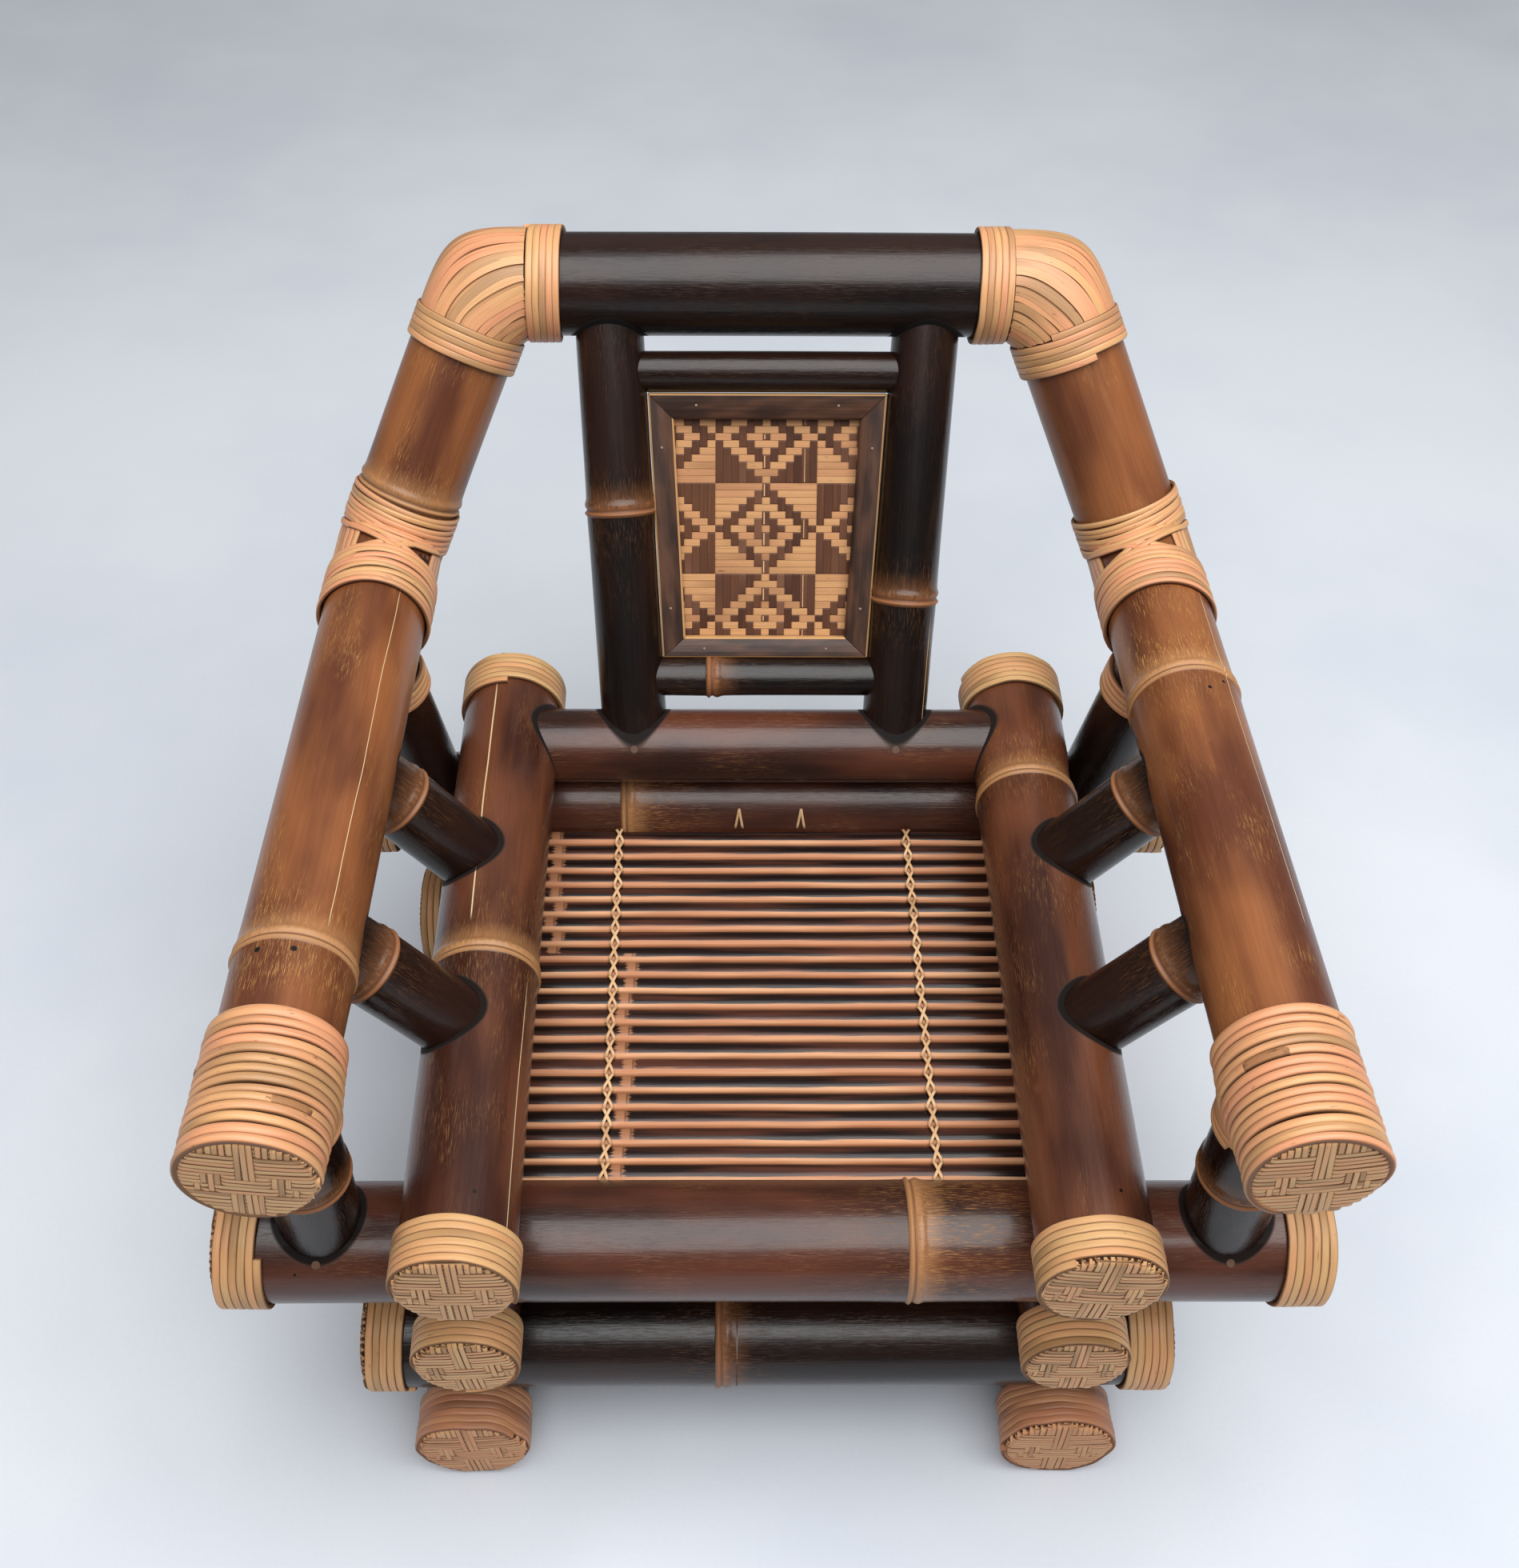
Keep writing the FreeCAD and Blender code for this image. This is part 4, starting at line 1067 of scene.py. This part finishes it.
def buildElbow(side, name, tree, honey, smooth, under):
    corner = elbow(side)
    railRun = Vector((-side, 0, 0))
    armDown = -rearRun(side)
    base = cornerDetail["elbowBase"]
    bundle = StripBundle(70 + side, True)
    grid = []
    for index in range(cornerDetail["around"]):
        angle = 2 * math.pi * index / cornerDetail["around"]
        grid.append(elbowArc(corner, armDown, railRun, base - 0.0004, angle, 24)[0])
    bundle.surface([[column[row] for column in grid] for row in range(25)], 1)
    strips = cornerDetail["elbowStrips"]
    for index in range(strips):
        angle = 2 * math.pi * (index + bundle.chance.uniform(-0.18, 0.18)) / strips
        points, outs = elbowArc(corner, armDown, railRun, base, angle, 30)
        sway = bundle.chance.uniform(-0.0008, 0.0008)
        for step in range(len(points)):
            ahead = points[min(step + 1, len(points) - 1)] - points[max(step - 1, 0)]
            aside = ahead.cross(outs[step]).normalized()
            points[step] = points[step] + aside * (sway * math.sin(math.pi * step / 15))
        crowd = 1.0 + 0.34 * max(math.cos(angle), 0.0)
        width = 2 * math.pi * base / strips * crowd * bundle.chance.uniform(1.00, 1.16)
        thickness = cornerDetail["elbowThickness"] * bundle.chance.uniform(0.80, 1.0)
        middleStep = len(points) // 2
        swell = [width * (1.0 - 0.10 * abs(step - middleStep) / middleStep) for step in range(len(points))]
        bundle.lay(points, outs, swell, thickness, 0)
    bundle.piece("elbowWrap" + name.capitalize(), [smooth, under], ["elbow_cover_" + name], "rattan")
    return [
        windOne(tree, "elbow", corner + railRun * 0.0300, railRun, sizes["topRail"],
                90 + side, honey, 0.0014),
        windOne(tree, "elbow", corner + armDown * 0.0290, armDown, sizes["arm"], 95 + side, honey, 0.0010),
    ]


def buildKnee(side, name, bands, saddles, honey, fill):
    corner = knee(side)
    forward = -armRun(side)
    upward = rearRun(side)
    base = cornerDetail["kneeBase"]
    turn = math.pi - forward.angle(upward)
    bundle = StripBundle(80 + side)
    outboard = -side if forward.cross(upward).x < 0 else side

    def trace(target, pairs, radius, width, thickness):
        points, outs = [], []
        for angle, place in pairs:
            point, out = bendPoint(corner, forward, upward, radius, angle, place)
            points.append(point)
            outs.append(out)
        target.lay(points, outs, width, thickness, 0)

    grid = []
    behind, beyond = cornerDetail["kneeFill"]
    for index in range(cornerDetail["around"]):
        angle = 2 * math.pi * index / cornerDetail["around"]
        low = -ringPlace(base, turn, angle, behind)
        high = ringPlace(base, turn, angle, beyond)
        column = []
        for step in range(33):
            place = low + (high - low) * step / 32
            column.append(bendPoint(corner, forward, upward, base - 0.0006, angle, place)[0])
        grid.append(column)
    bundle.surface([[column[row] for column in grid] for row in range(33)], 1)
    strips = cornerDetail["kneeStrips"]
    behind, beyond = cornerDetail["kneeReach"]
    slant = cornerDetail["kneeSlant"] * outboard
    for index in range(strips):  # lengthwise strips, left open on top of the bend
        angle = 2 * math.pi * index / strips
        if math.cos(angle) < cornerDetail["kneeOpen"]:
            continue
        low = -ringPlace(base, turn, angle, behind)
        high = ringPlace(base, turn, angle, beyond)
        pairs = []
        for step in range(27):
            share = step / 26
            pairs.append((angle + slant * (share - 0.5), low + (high - low) * share))
        width = cornerDetail["kneeWidth"] * bundle.chance.uniform(0.94, 1.08)
        trace(bundle, pairs, base, width, cornerDetail["kneeThickness"])
    for index, lift in enumerate(cornerDetail["crossLifts"]):
        pairs = []  # strands crossing on top, two each way
        rising = index < 2
        for step in range(37):
            tilt = 1.55 - 3.1 * step / 36
            place = -0.015 + 0.019 * tilt - 0.0062 * (index % 2) if rising else (
                -0.011 - 0.024 * tilt - 0.0060 * (index % 2))
            if place == 0:
                place = 0.0001
            pairs.append((math.pi - outboard * tilt, place))
        trace(bundle, pairs, base + lift, cornerDetail["crossWidth"], cornerDetail["crossThickness"])

    def loop(target, distance, tilt, direction, radius, width, thickness):
        pairs = []
        phase = distance * 700
        for step in range(73):
            angle = 2 * math.pi * step / 72
            axial = distance + tilt * math.sin(angle) + 0.0007 * math.sin(angle * 2 + phase)
            place = direction * ringPlace(radius, turn, angle, axial)
            pairs.append((angle, place if place else 0.0001))
        trace(target, pairs, radius, width, thickness)

    upperStart = 0.0160 if side < 0 else 0.0142
    for index in range(cornerDetail["upperStrands"]):  # upper band, over the inner corner of the bend
        distance = upperStart + index * cornerDetail["upperPitch"] + bundle.chance.uniform(-0.0003, 0.0003)
        tilt = outboard * (0.0030 - index * 0.0004)
        loop(bands, distance, tilt, 1, base + 0.0012 + 0.0002 * (index % 2),
             cornerDetail["upperWidth"], cornerDetail["upperThickness"])
    for index in range(cornerDetail["lowerStrands"]):  # lower band, with slits between its strands
        distance = 0.0480 + index * cornerDetail["lowerPitch"] + bundle.chance.uniform(-0.0005, 0.0005)
        tilt = bundle.chance.uniform(-0.0012, 0.0012)
        width = cornerDetail["lowerWidth"] * bundle.chance.uniform(0.90, 1.08)
        loop(saddles, distance, tilt, -1, base + 0.0010 + 0.0003 * (index % 2), width,
             cornerDetail["lowerThickness"])
    bundle.piece("kneeWrap" + name.capitalize(), [honey, fill], ["knee_cover_" + name], "rattan")


# Bound fronts of the arms
armEnd = {
    "strands": (7.4, 8.2, 6.6, 7.0, 7.8, 9.8, 6.4, 6.8, 7.6, 6.2, 7.0, 6.4, 7.2, 7.0), "length": 0.097,
    "rim": 0.003, "thickness": 0.0044, "bulge": 0.0050,
    "slits": {3: 0.0009, 6: 0.0012, 9: 0.0010, 11: 0.0006},
    "steps": 72, "level": 0.62, "lift": 0.0005, "wave": 0.0007, "gap": 0.0003,
    "outward": 0.55, "bulgePlace": 0.058, "bulgeSpread": 0.026,
}


def buildArmFront(side, bundle):
    start = armFront(side)
    run = armRun(side)
    first, second = frameAlong(run)
    down = (frontPost[side][0] - frontPost[side][1]).normalized()
    down = (down - run * down.dot(run)).normalized()
    down = (down + Vector((-side, 0, 0)) * armEnd["outward"]).normalized()
    chance = random.Random(200 + side)
    widths = list(armEnd["strands"])
    chance.shuffle(widths)
    scale = (armEnd["length"] - sum(armEnd["slits"].values())) / sum(widths)
    places, reached = [], -armEnd["rim"]
    for index, width in enumerate(widths):
        reached += armEnd["slits"].get(index, 0.0)
        places.append(reached + width * scale / 2)
        reached += width * scale
    places.append(reached - widths[-1] * scale / 2)
    widths.append(widths[-1])
    lifts = [chance.uniform(-armEnd["lift"], armEnd["lift"]) for _ in places]
    waves = [chance.uniform(-armEnd["wave"], armEnd["wave"]) for _ in places]
    points, outs, spread = [], [], []
    steps = armEnd["steps"]
    for step in range(steps * (len(places) - 1) + 1):
        turns = min(step / steps, len(places) - 1.0001)
        whole = int(turns)
        share = turns - whole

        def between(values):  # level for most of a turn, then over to the next strand's place
            ease = max(0.0, (share - armEnd["level"]) / (1 - armEnd["level"]))
            return values[whole] * (1 - ease) + values[whole + 1] * ease

        angle = 2 * math.pi * turns + side * 0.4 + math.pi
        out = first * math.cos(angle) + second * math.sin(angle)
        facing = max(out.dot(down), 0.0) ** 2
        place = between(places) + between(waves) * math.sin(angle * 2 + whole)
        fall = math.exp(-((place - armEnd["bulgePlace"]) / armEnd["bulgeSpread"]) ** 2)
        away = sizes["arm"] + armEnd["gap"] + between(lifts) + armEnd["bulge"] * facing * fall
        points.append(start + run * place + out * away)
        outs.append(out)
        spread.append(between(widths) * scale * 1.01)
    tone = chance.random()
    third = len(points) // 3
    for part in range(3):  # three strips, each tucked under the next
        low = max(part * third - 4, 0)
        high = (part + 1) * third + 5 if part < 2 else len(points)
        bundle.lay(points[low:high], outs[low:high], spread[low:high], armEnd["thickness"], 0,
                   (tone + part * 0.31) % 1.0)


def buildArmFronts(tree, honey, tan, fill):
    windings = StripBundle(300)
    caps = StripBundle(310, True)
    collars = []
    for side in (-1, 1):
        buildArmFront(side, windings)
        plaitCap(caps, armFront(side) - armRun(side) * 0.0010, -armRun(side),
                 sizes["arm"] + 0.0030, side * 0.12)
        for line, radius, cover in ((frontPost[side], sizes["frontPost"], 0.0050),
                                    (rearPost[side], sizes["rearPost"], 0.0045)):
            down = (line[0] - line[1]).normalized()
            top = line[1] + down * (sizes["arm"] + cover - 0.0060)
            collars.append(windOne(tree, "collar", top, down, radius, 120 + side + radius * 1000, honey))
    windings.piece("armWindings", [honey], ["arm_windings", "arm_saddles"], "rattan")
    caps.piece("armCaps", [tan, fill], ["arm_caps"], "rattan")
    joinMeshes("postCollars", collars, ["post_collars"])


# Woven back panel, light strips over dark ones
weave = {
    "columnPitch": 0.00622, "rowPitch": 0.00558, "block": 13, "columns": 12, "rows": 16,
    "thickness": 0.00045, "lift": 0.00034, "middle": 0.1772, "floor": -0.0084,
    "board": ((-0.078, 0.088), (0.078, 0.088), (0.078, 0.2665), (-0.078, 0.2665)),
    "boardFaces": (-0.0093, -0.0080),
}


def lightCell(i, j):  # squares of nested diamonds, every other square reversed
    half = weave["block"] // 2
    acrossBlock = math.floor((i + half) / weave["block"])
    upBlock = math.floor((j + half) / weave["block"])
    away = abs(i - acrossBlock * weave["block"]) + abs(j - upBlock * weave["block"])
    light = away == 0 or away in (3, 4) or away >= 7
    return light if (acrossBlock + upBlock) % 2 == 0 else not light


def buildPanel(light, dark, fill, cord):
    bundle = StripBundle(400, True)
    chance = bundle.chance
    bundle.surface([[onBack(x, up, rise) for x, up in weave["board"]] for rise in weave["boardFaces"]], 2)
    columns, rows, floor = weave["columns"], weave["rows"], weave["floor"]
    for upright in (True, False):
        count = columns if upright else rows
        other = rows if upright else columns
        pitch = weave["columnPitch"] if upright else weave["rowPitch"]
        step = weave["rowPitch"] if upright else weave["columnPitch"]
        for line in range(-count, count + 1):
            offset = line * pitch
            points, outs = [], []
            for index in range(-other * 3 - 1, other * 3 + 2):
                at = index * step / 3
                cross = round(index / 3)
                isLight = lightCell(line, cross) if upright else lightCell(cross, line)
                over = (not isLight) if upright else isLight
                rise = floor + 0.0006 + (weave["lift"] if over else -weave["lift"])
                if upright:
                    points.append(onBack(offset, weave["middle"] + at, rise))
                else:
                    points.append(onBack(at, weave["middle"] + offset, rise))
                outs.append(backOut)
            width = pitch * chance.uniform(0.975, 1.0)
            bundle.lay(points, outs, width, weave["thickness"], 1 if upright else 0)
    for place in (-0.0014, 0.0305):  # pale slivers left on two of the upright strips
        points = []
        line = round(place / weave["columnPitch"])
        for index in range(-rows * 3, rows * 3 + 1):
            rise = floor + (-0.0002 if lightCell(line, round(index / 3)) else 0.0011)
            points.append(onBack(place, weave["middle"] + index * weave["rowPitch"] / 3, rise))
        bundle.lay(points, [backOut] * len(points), 0.0009, 0.0003, 3)
    bundle.piece("wovenPanel", [light, dark, fill, cord], ["woven_panel"], "woven_bamboo")


# Picture frame: four mitred strips sloping in to the weave, each with two small pale nails
frameDetail = {
    "foot": 0.0748, "head": 0.28374, "top": 0.020, "side": 0.019, "bottom": 0.016, "post": 0.0266,
    "steps": 24, "endGap": 0.0003, "darkerEdge": 0.35,
    "profile": (  # share of the width, height, cut edge
        (0.0, -0.0060, 1.0), (0.0, 0.0046, 1.0), (0.05, 0.0056, 1.0), (0.09, 0.0060, 0.0),
        (0.30, 0.0057, 0.0), (0.62, 0.0046, 0.0), (0.90, 0.0030, 0.0), (0.95, 0.0024, 1.0),
        (1.0, 0.0012, 1.0), (1.0, -0.0060, 1.0)),
    "nails": (0.17, 0.83), "nailInset": 0.45, "nailSides": 8,
    "nailRings": ((0.0011, 0.0040), (0.0011, 0.0058), (0.0006, 0.0063)),  # radius, height
}


def frameCorner(side, place, inset):
    return side * (backAside(place) - frameDetail["post"] - inset), place


def frameStrip(name, outer, inner, index):
    after = (index + 1) % 4
    steps, profile, sides = frameDetail["steps"], frameDetail["profile"], frameDetail["nailSides"]
    vertices, along, across, cut = [], [], [], []
    for step in range(steps + 1):
        for share, rise, bare in profile:
            ends = [blend(outer[corner], inner[corner], share) for corner in (index, after)]
            length = math.dist(ends[0], ends[1])
            gap = frameDetail["endGap"]
            place = (gap + (length - 2 * gap) * step / steps) / length
            vertices.append(onBack(*blend(*ends, place), rise))
            along.append(length * place)
            across.append(share)
            cut.append(bare * (frameDetail["darkerEdge"] if share > 0.5 and name in ("top", "left") else 1.0))
    faces = tubeFaces(steps + 1, len(profile))
    kinds = [0] * len(faces)
    ends = [blend(outer[corner], inner[corner], frameDetail["nailInset"]) for corner in (index, after)]
    for nail in frameDetail["nails"]:
        x, up = blend(*ends, nail)
        faces += tubeFaces(len(frameDetail["nailRings"]), sides, len(vertices))
        for size, rise in frameDetail["nailRings"]:
            for turn in range(sides):
                angle = 2 * math.pi * turn / sides
                vertices.append(onBack(x + math.cos(angle) * size, up + math.sin(angle) * size, rise))
    kinds += [1] * (len(faces) - len(kinds))
    flat = [0.0] * (len(vertices) - len(along))
    mesh = bpy.data.meshes.new("frame" + name.capitalize())
    mesh.from_pydata(vertices, [], faces)
    mesh.polygons.foreach_set("material_index", kinds)
    setValues(mesh, along=along + flat, across=across + flat, cut=cut + flat,
              tone=[index * 0.23] * len(vertices))
    return mesh


def buildFrame(finishing, nailFinish):
    foot, head, inset = frameDetail["foot"], frameDetail["head"], frameDetail["side"]
    low, high = foot + frameDetail["bottom"], head - frameDetail["top"]
    outer = [frameCorner(side, place, 0) for side, place in ((-1, foot), (1, foot), (1, head), (-1, head))]
    inner = [frameCorner(side, place, inset) for side, place in ((-1, low), (1, low), (1, high), (-1, high))]
    for index, name in enumerate(("bottom", "left", "top", "right")):
        mesh = frameStrip(name, outer, inner, index)
        addPiece(mesh.name, mesh, [finishing, nailFinish], ["panel_frame_" + name])


# Seat mat of split slats
seat = {
    "slats": 22, "half": 0.205, "gap": 0.0010, "thickness": 0.006, "steps": 60,
    "tiesAside": 0.120, "tiesReach": 0.50, "tieLean": 0.0032, "tieWidth": 0.0024, "tieThickness": 0.0012,
    "tips": (-0.020, 0.032), "tipAngle": 13, "tipStep": 5, "tipWidth": 0.0022, "tipThickness": 0.0010,
}
seat["front"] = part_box("seat_slats")[0].y - seat["gap"] / 2
seat["back"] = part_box("seat_slats")[1].y + seat["gap"] / 2
seat["pitch"] = (seat["back"] - seat["front"]) / seat["slats"]
seat["top"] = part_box("seat_slats")[1].z


# Sets a small piece out in a row, each one turned a little and given its own tone
def rowTree():
    tree, web, given = newTree("rowOfPieces", (
        ("Piece", "Object", None), ("Count", "Int", 22), ("Start", "Vector", (0.0, 0.0, 0.0)),
        ("Step", "Vector", (0.0, 0.01, 0.0)), ("Turn", "Vector", (0.0, 0.0, 0.0)),
        ("Waviness", "Float", 0.0), ("Seed", "Int", 0), ("Finish", "Material", None)), "Row")
    seed = given.output("Seed")
    points = web.add("GeometryNodeMeshLine", {"mode": "OFFSET"}, {
        "Count": given.output("Count"), "Start Location": given.output("Start"),
        "Offset": given.output("Step")})
    shape = web.add("GeometryNodeObjectInfo", {"transform_space": "ORIGINAL"},
                    {"Object": given.output("Piece")}, "Geometry")
    lowTurn = web.vector("MULTIPLY", given.output("Turn"), (-1.0, -1.0, -1.0))
    turned = web.add("FunctionNodeRandomValue", {"data_type": "FLOAT_VECTOR"},
                     {0: lowTurn, 1: given.output("Turn"), 8: seed})
    row = web.add("GeometryNodeInstanceOnPoints", {}, {
        "Points": points, "Instance": shape, "Rotation": turned})
    own = web.add("FunctionNodeRandomValue", {"data_type": "FLOAT"}, {2: 0.0, 3: 1.0, 8: seed + 5}, 1)
    row = web.store(row, "tone", own, "INSTANCE")
    row = web.add("GeometryNodeRealizeInstances", {}, {"Geometry": row})
    here = web.add("GeometryNodeInputPosition")
    wave = web.grain(web.vector("MULTIPLY", here, (0.35, 1.0, 0.0)), 30, 1) - 0.5
    shift = web.join(0.0, wave * given.output("Waviness"), 0.0)
    row = web.add("GeometryNodeSetPosition", {}, {"Geometry": row, "Offset": shift})
    row = web.add("GeometryNodeSetMaterial", {}, {"Geometry": row, "Material": given.output("Finish")})
    result = tree.nodes.new("NodeGroupOutput")
    tree.links.new(row.socket, result.inputs["Row"])
    return tree


def slatMesh():
    width = seat["pitch"] - seat["gap"]
    half = seat["half"]
    section = [(-1.0, 0.0, 1.0), (-0.99, 0.0022, 1.0), (-0.93, 0.0038, 1.0), (-0.82, 0.0048, 1.0)]
    for share in (-0.66, -0.52, -0.38, -0.15, 0.1, 0.35, 0.6, 0.8, 0.93):
        bare = 0.8 if share < -0.6 else 0.45 if share < -0.5 else 0.1 if share < -0.3 else 0.0
        section.append((share, 0.0036 + 0.0024 * (1 - share ** 2), bare))
    section += [(1.0, 0.0034, 0.9), (1.0, 0.0, 1.0)]
    vertices, along, across, cut = [], [], [], []
    steps = seat["steps"]
    for step in range(steps + 1):
        x = -half + 2 * half * step / steps
        for share, rise, bare in section:
            vertices.append((x, share * width / 2, rise - seat["thickness"]))
            along.append(x)
            across.append(share)
            cut.append(bare)
    mesh = bpy.data.meshes.new("slat")
    mesh.from_pydata(vertices, [], tubeFaces(steps + 1, len(section)))
    setValues(mesh, along=along, across=across, cut=cut)
    return mesh


def stitchMesh():
    bundle = StripBundle(500)
    reach = seat["pitch"] * seat["tiesReach"]
    for lean in (-1, 1):
        points = []
        for step in range(9):
            share = step / 4 - 1
            rise = 0.0017 - 0.0009 * share ** 2 - 0.0088 * max(abs(share) - 0.75, 0)
            if lean > 0:  # this twine crosses over the other
                rise += 0.0004
            points.append(Vector((lean * share * seat["tieLean"], share * reach, rise)))
        bundle.lay(points, [Vector((0, 0, 1))] * len(points), seat["tieWidth"], seat["tieThickness"])
    return bundle.mesh("stitch")


def runRow(tree, shape, values):
    master = newObject("master", shape)
    mesh = meshFromTree(tree, dict(values, Piece=master))
    bpy.data.objects.remove(master)
    return mesh


def buildSeat(tree, slatFinish, cord):
    first = seat["front"] + seat["pitch"] / 2
    slats = runRow(tree, slatMesh(), {
        "Count": seat["slats"], "Start": (0.0, first, seat["top"]), "Step": (0.0, seat["pitch"], 0.0),
        "Turn": (0.0, 0.0, 0.0012), "Waviness": 0.0014, "Seed": 3, "Finish": slatFinish})
    joinMeshes("seatSlats", [slats], ["seat_slats"])
    stitches = []
    for side, seed in ((-1, 5), (1, 9)):
        start = (side * seat["tiesAside"], first, seat["top"])
        stitches.append(runRow(tree, stitchMesh(), {
            "Count": seat["slats"], "Start": start, "Step": (0.0, seat["pitch"], 0.0),
            "Turn": (0.0, 0.0, 0.10), "Waviness": 0.0010, "Seed": seed, "Finish": cord}))
    tips = StripBundle(510)
    for x in seat["tips"]:  # ends of two inner ties, hooked on the rear cross rail
        for lean in (-1, 1):
            points, outs = [], []
            for step in range(6):
                angle = math.radians(seat["tipAngle"] + step * seat["tipStep"])
                out = Vector((0, -math.cos(angle), math.sin(angle)))
                aside = x + lean * seat["tieLean"] * (1 - step / 5)
                points.append(Vector((aside, rearCrossPlace, crossHeight)) + out * (sizes["cross"] + 0.0002))
                outs.append(out)
            tips.lay(points, outs, seat["tipWidth"], seat["tipThickness"])
    tipMesh = tips.mesh("tieTips")
    setValues(tipMesh, tone=tips.tone)
    tipMesh.materials.append(cord)
    stitches.append(tipMesh)
    joinMeshes("seatStitches", stitches, ["seat_ties"])


# The build
honey = rattanSkin("honeyRattan", "honey", 0.0, 0.48, 0.8, 0.70)
smooth = rattanSkin("smoothRattan", "honey", 1.0, 0.42, 0.55, 0.86)
under = rattanSkin("underRattan", "blush", 6.0, 0.7, 0.0, 0.9, 0.1)
tan = rattanSkin("tanRattan", "tan", 2.0, 0.55, 0.85, 0.60, 0.3)
blush = rattanSkin("footCapRattan", "blush", 4.0, 0.6, 0.7, 0.78, 0.25)
red = rattanSkin("footRattan", "red", 3.0, 0.55)
cord = rattanSkin("creamCord", "cord", 5.0, 0.6, 0.3)
panelLight = rattanSkin("panelHoney", "panelLight", 7.0, 0.48, 0.45, 0.90, 0.2)
panelDark = rattanSkin("panelBrown", "panelDark", 9.0, 0.48, 0.45, 0.90, 0.15)
fill = fillSkin()
print("finishes ready")

buildCulms()
print("culms built")

winding = windingTree()
buildEnds(winding, tan, red, blush, fill)
print("end bands and caps built")

elbowMeshes = []
kneeBands, kneeSaddles = StripBundle(91), StripBundle(92)
for side, name in ((-1, "right"), (1, "left")):
    elbowMeshes += buildElbow(side, name, winding, honey, smooth, under)
    buildKnee(side, name, kneeBands, kneeSaddles, honey, fill)
joinMeshes("elbowRings", elbowMeshes, ["elbow_rings"])
kneeBands.piece("kneeBands", [honey], ["knee_bands"], "rattan")
kneeSaddles.piece("kneeSaddles", [honey], ["knee_saddles"], "rattan")
print("corners wrapped")

buildArmFronts(winding, honey, tan, fill)
print("arm fronts bound")

buildPanel(panelLight, panelDark, fill, cord)
buildFrame(frameSkin(), plainWood("nailHeads", colour(112, 98, 82), colour(158, 142, 120), 0.4))
buildSeat(rowTree(), slatSkin(), cord)
print("panel and seat built")

# CAD nodes that are shown as they are
peg = plainWood("pegWood", colour(66, 44, 34), colour(110, 80, 60), 0.5)
rod = plainWood("bearerBamboo", colour(120, 84, 54), colour(170, 126, 84), 0.5)
for node, material in (("post_pegs", peg), ("crossing_dowels", rod), ("seat_bearers", rod)):
    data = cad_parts[node].data
    data.materials.clear()
    data.materials.append(material)

# Floor, light and camera
studio = {
    "floor": colour(214, 219, 226), "stain": colour(202, 208, 217), "world": 0.31,
    "lampPower": 158.0, "lampPlace": (0.35, -0.75, 3.1), "lampSize": (3.6, 3.0),
}


def buildFloor():
    mesh = bpy.data.meshes.new("floor")
    rows, columns, reach = 24, 3, 12.0
    vertices, faces = [], []
    for row in range(rows + 1):
        y = -reach + 2 * reach * row / rows
        for column in range(columns + 1):
            vertices.append((-reach + 2 * reach * column / columns, y, 0.0))
    for row in range(rows):
        for column in range(columns):
            low = row * (columns + 1) + column
            faces.append((low, low + 1, low + columns + 2, low + columns + 1))
    mesh.from_pydata(vertices, [], faces)
    material, web, skin = newMaterial("floorCloth", {"Specular IOR Level": 0.15})
    here = web.here()
    broad = web.grain(here, 1.3, 4, 0.6)
    small = web.grain(here, 260, 2)
    base = web.mix(broad.ease(0.35, 0.7), studio["floor"], studio["stain"])
    feed(web, skin, {
        "Base Color": web.shade(base, 0.985 + (small - 0.5) * 0.05),
        "Roughness": 0.8 + small * 0.15,
        "Normal": web.bump(small, 0.15, 0.0006),
    })
    mesh.materials.append(material)
    newObject("floor", mesh)


def buildLight():
    world = bpy.data.worlds.new("studio")
    bpy.context.scene.world = world
    world.use_nodes = True
    web = Web(world.node_tree)
    back = world.node_tree.nodes["Background"]
    here = web.here("Generated")
    height = web.part(here, "Z")
    sky = web.mix(height.ease(-0.1, 0.9), (0.30, 0.31, 0.33, 1.0), (1.0, 1.0, 1.0, 1.0))
    web.tree.links.new(sky.socket, back.inputs["Color"])
    back.inputs["Strength"].default_value = studio["world"]
    lamp = bpy.data.lights.new("softLamp", "AREA")
    lamp.shape = "RECTANGLE"
    lamp.size, lamp.size_y = studio["lampSize"]
    lamp.energy = studio["lampPower"]
    holder = newObject("softLamp", lamp)
    holder.location = studio["lampPlace"]
    aim = Vector((0.0, 0.0, 0.35)) - Vector(studio["lampPlace"])
    holder.rotation_euler = aim.to_track_quat("-Z", "Y").to_euler()


# Camera as it stood for the photograph: above the front edge, looking down
view = {
    "place": (-0.04473, -0.90427, 1.43404), "pitch": -47.563, "yaw": 1.056, "roll": 0.846,
    "focal": 2255.6, "tall": 1960.0, "shift": (0.01751, 0.00386),
}


def buildCamera():
    pitch, yaw, roll = (math.radians(view[key]) for key in ("pitch", "yaw", "roll"))
    ahead = Vector((math.sin(yaw) * math.cos(pitch), math.cos(yaw) * math.cos(pitch), math.sin(pitch)))
    level = Vector((math.cos(yaw), -math.sin(yaw), 0.0))
    rise = level.cross(ahead)
    right = level * math.cos(roll) + rise * math.sin(roll)
    up = rise * math.cos(roll) - level * math.sin(roll)
    data = bpy.data.cameras.new("camera")
    data.sensor_fit = "AUTO"
    data.sensor_width = 36.0
    data.lens = 36.0 * view["focal"] / view["tall"]
    data.shift_x, data.shift_y = view["shift"]
    camera = newObject("camera", data)
    turn = Matrix((right, up, -ahead)).transposed().to_4x4()
    camera.matrix_world = Matrix.Translation(view["place"]) @ turn
    bpy.context.scene.camera = camera


buildFloor()
buildLight()
buildCamera()
bpy.context.scene.view_settings.view_transform = "Standard"
print("studio ready")
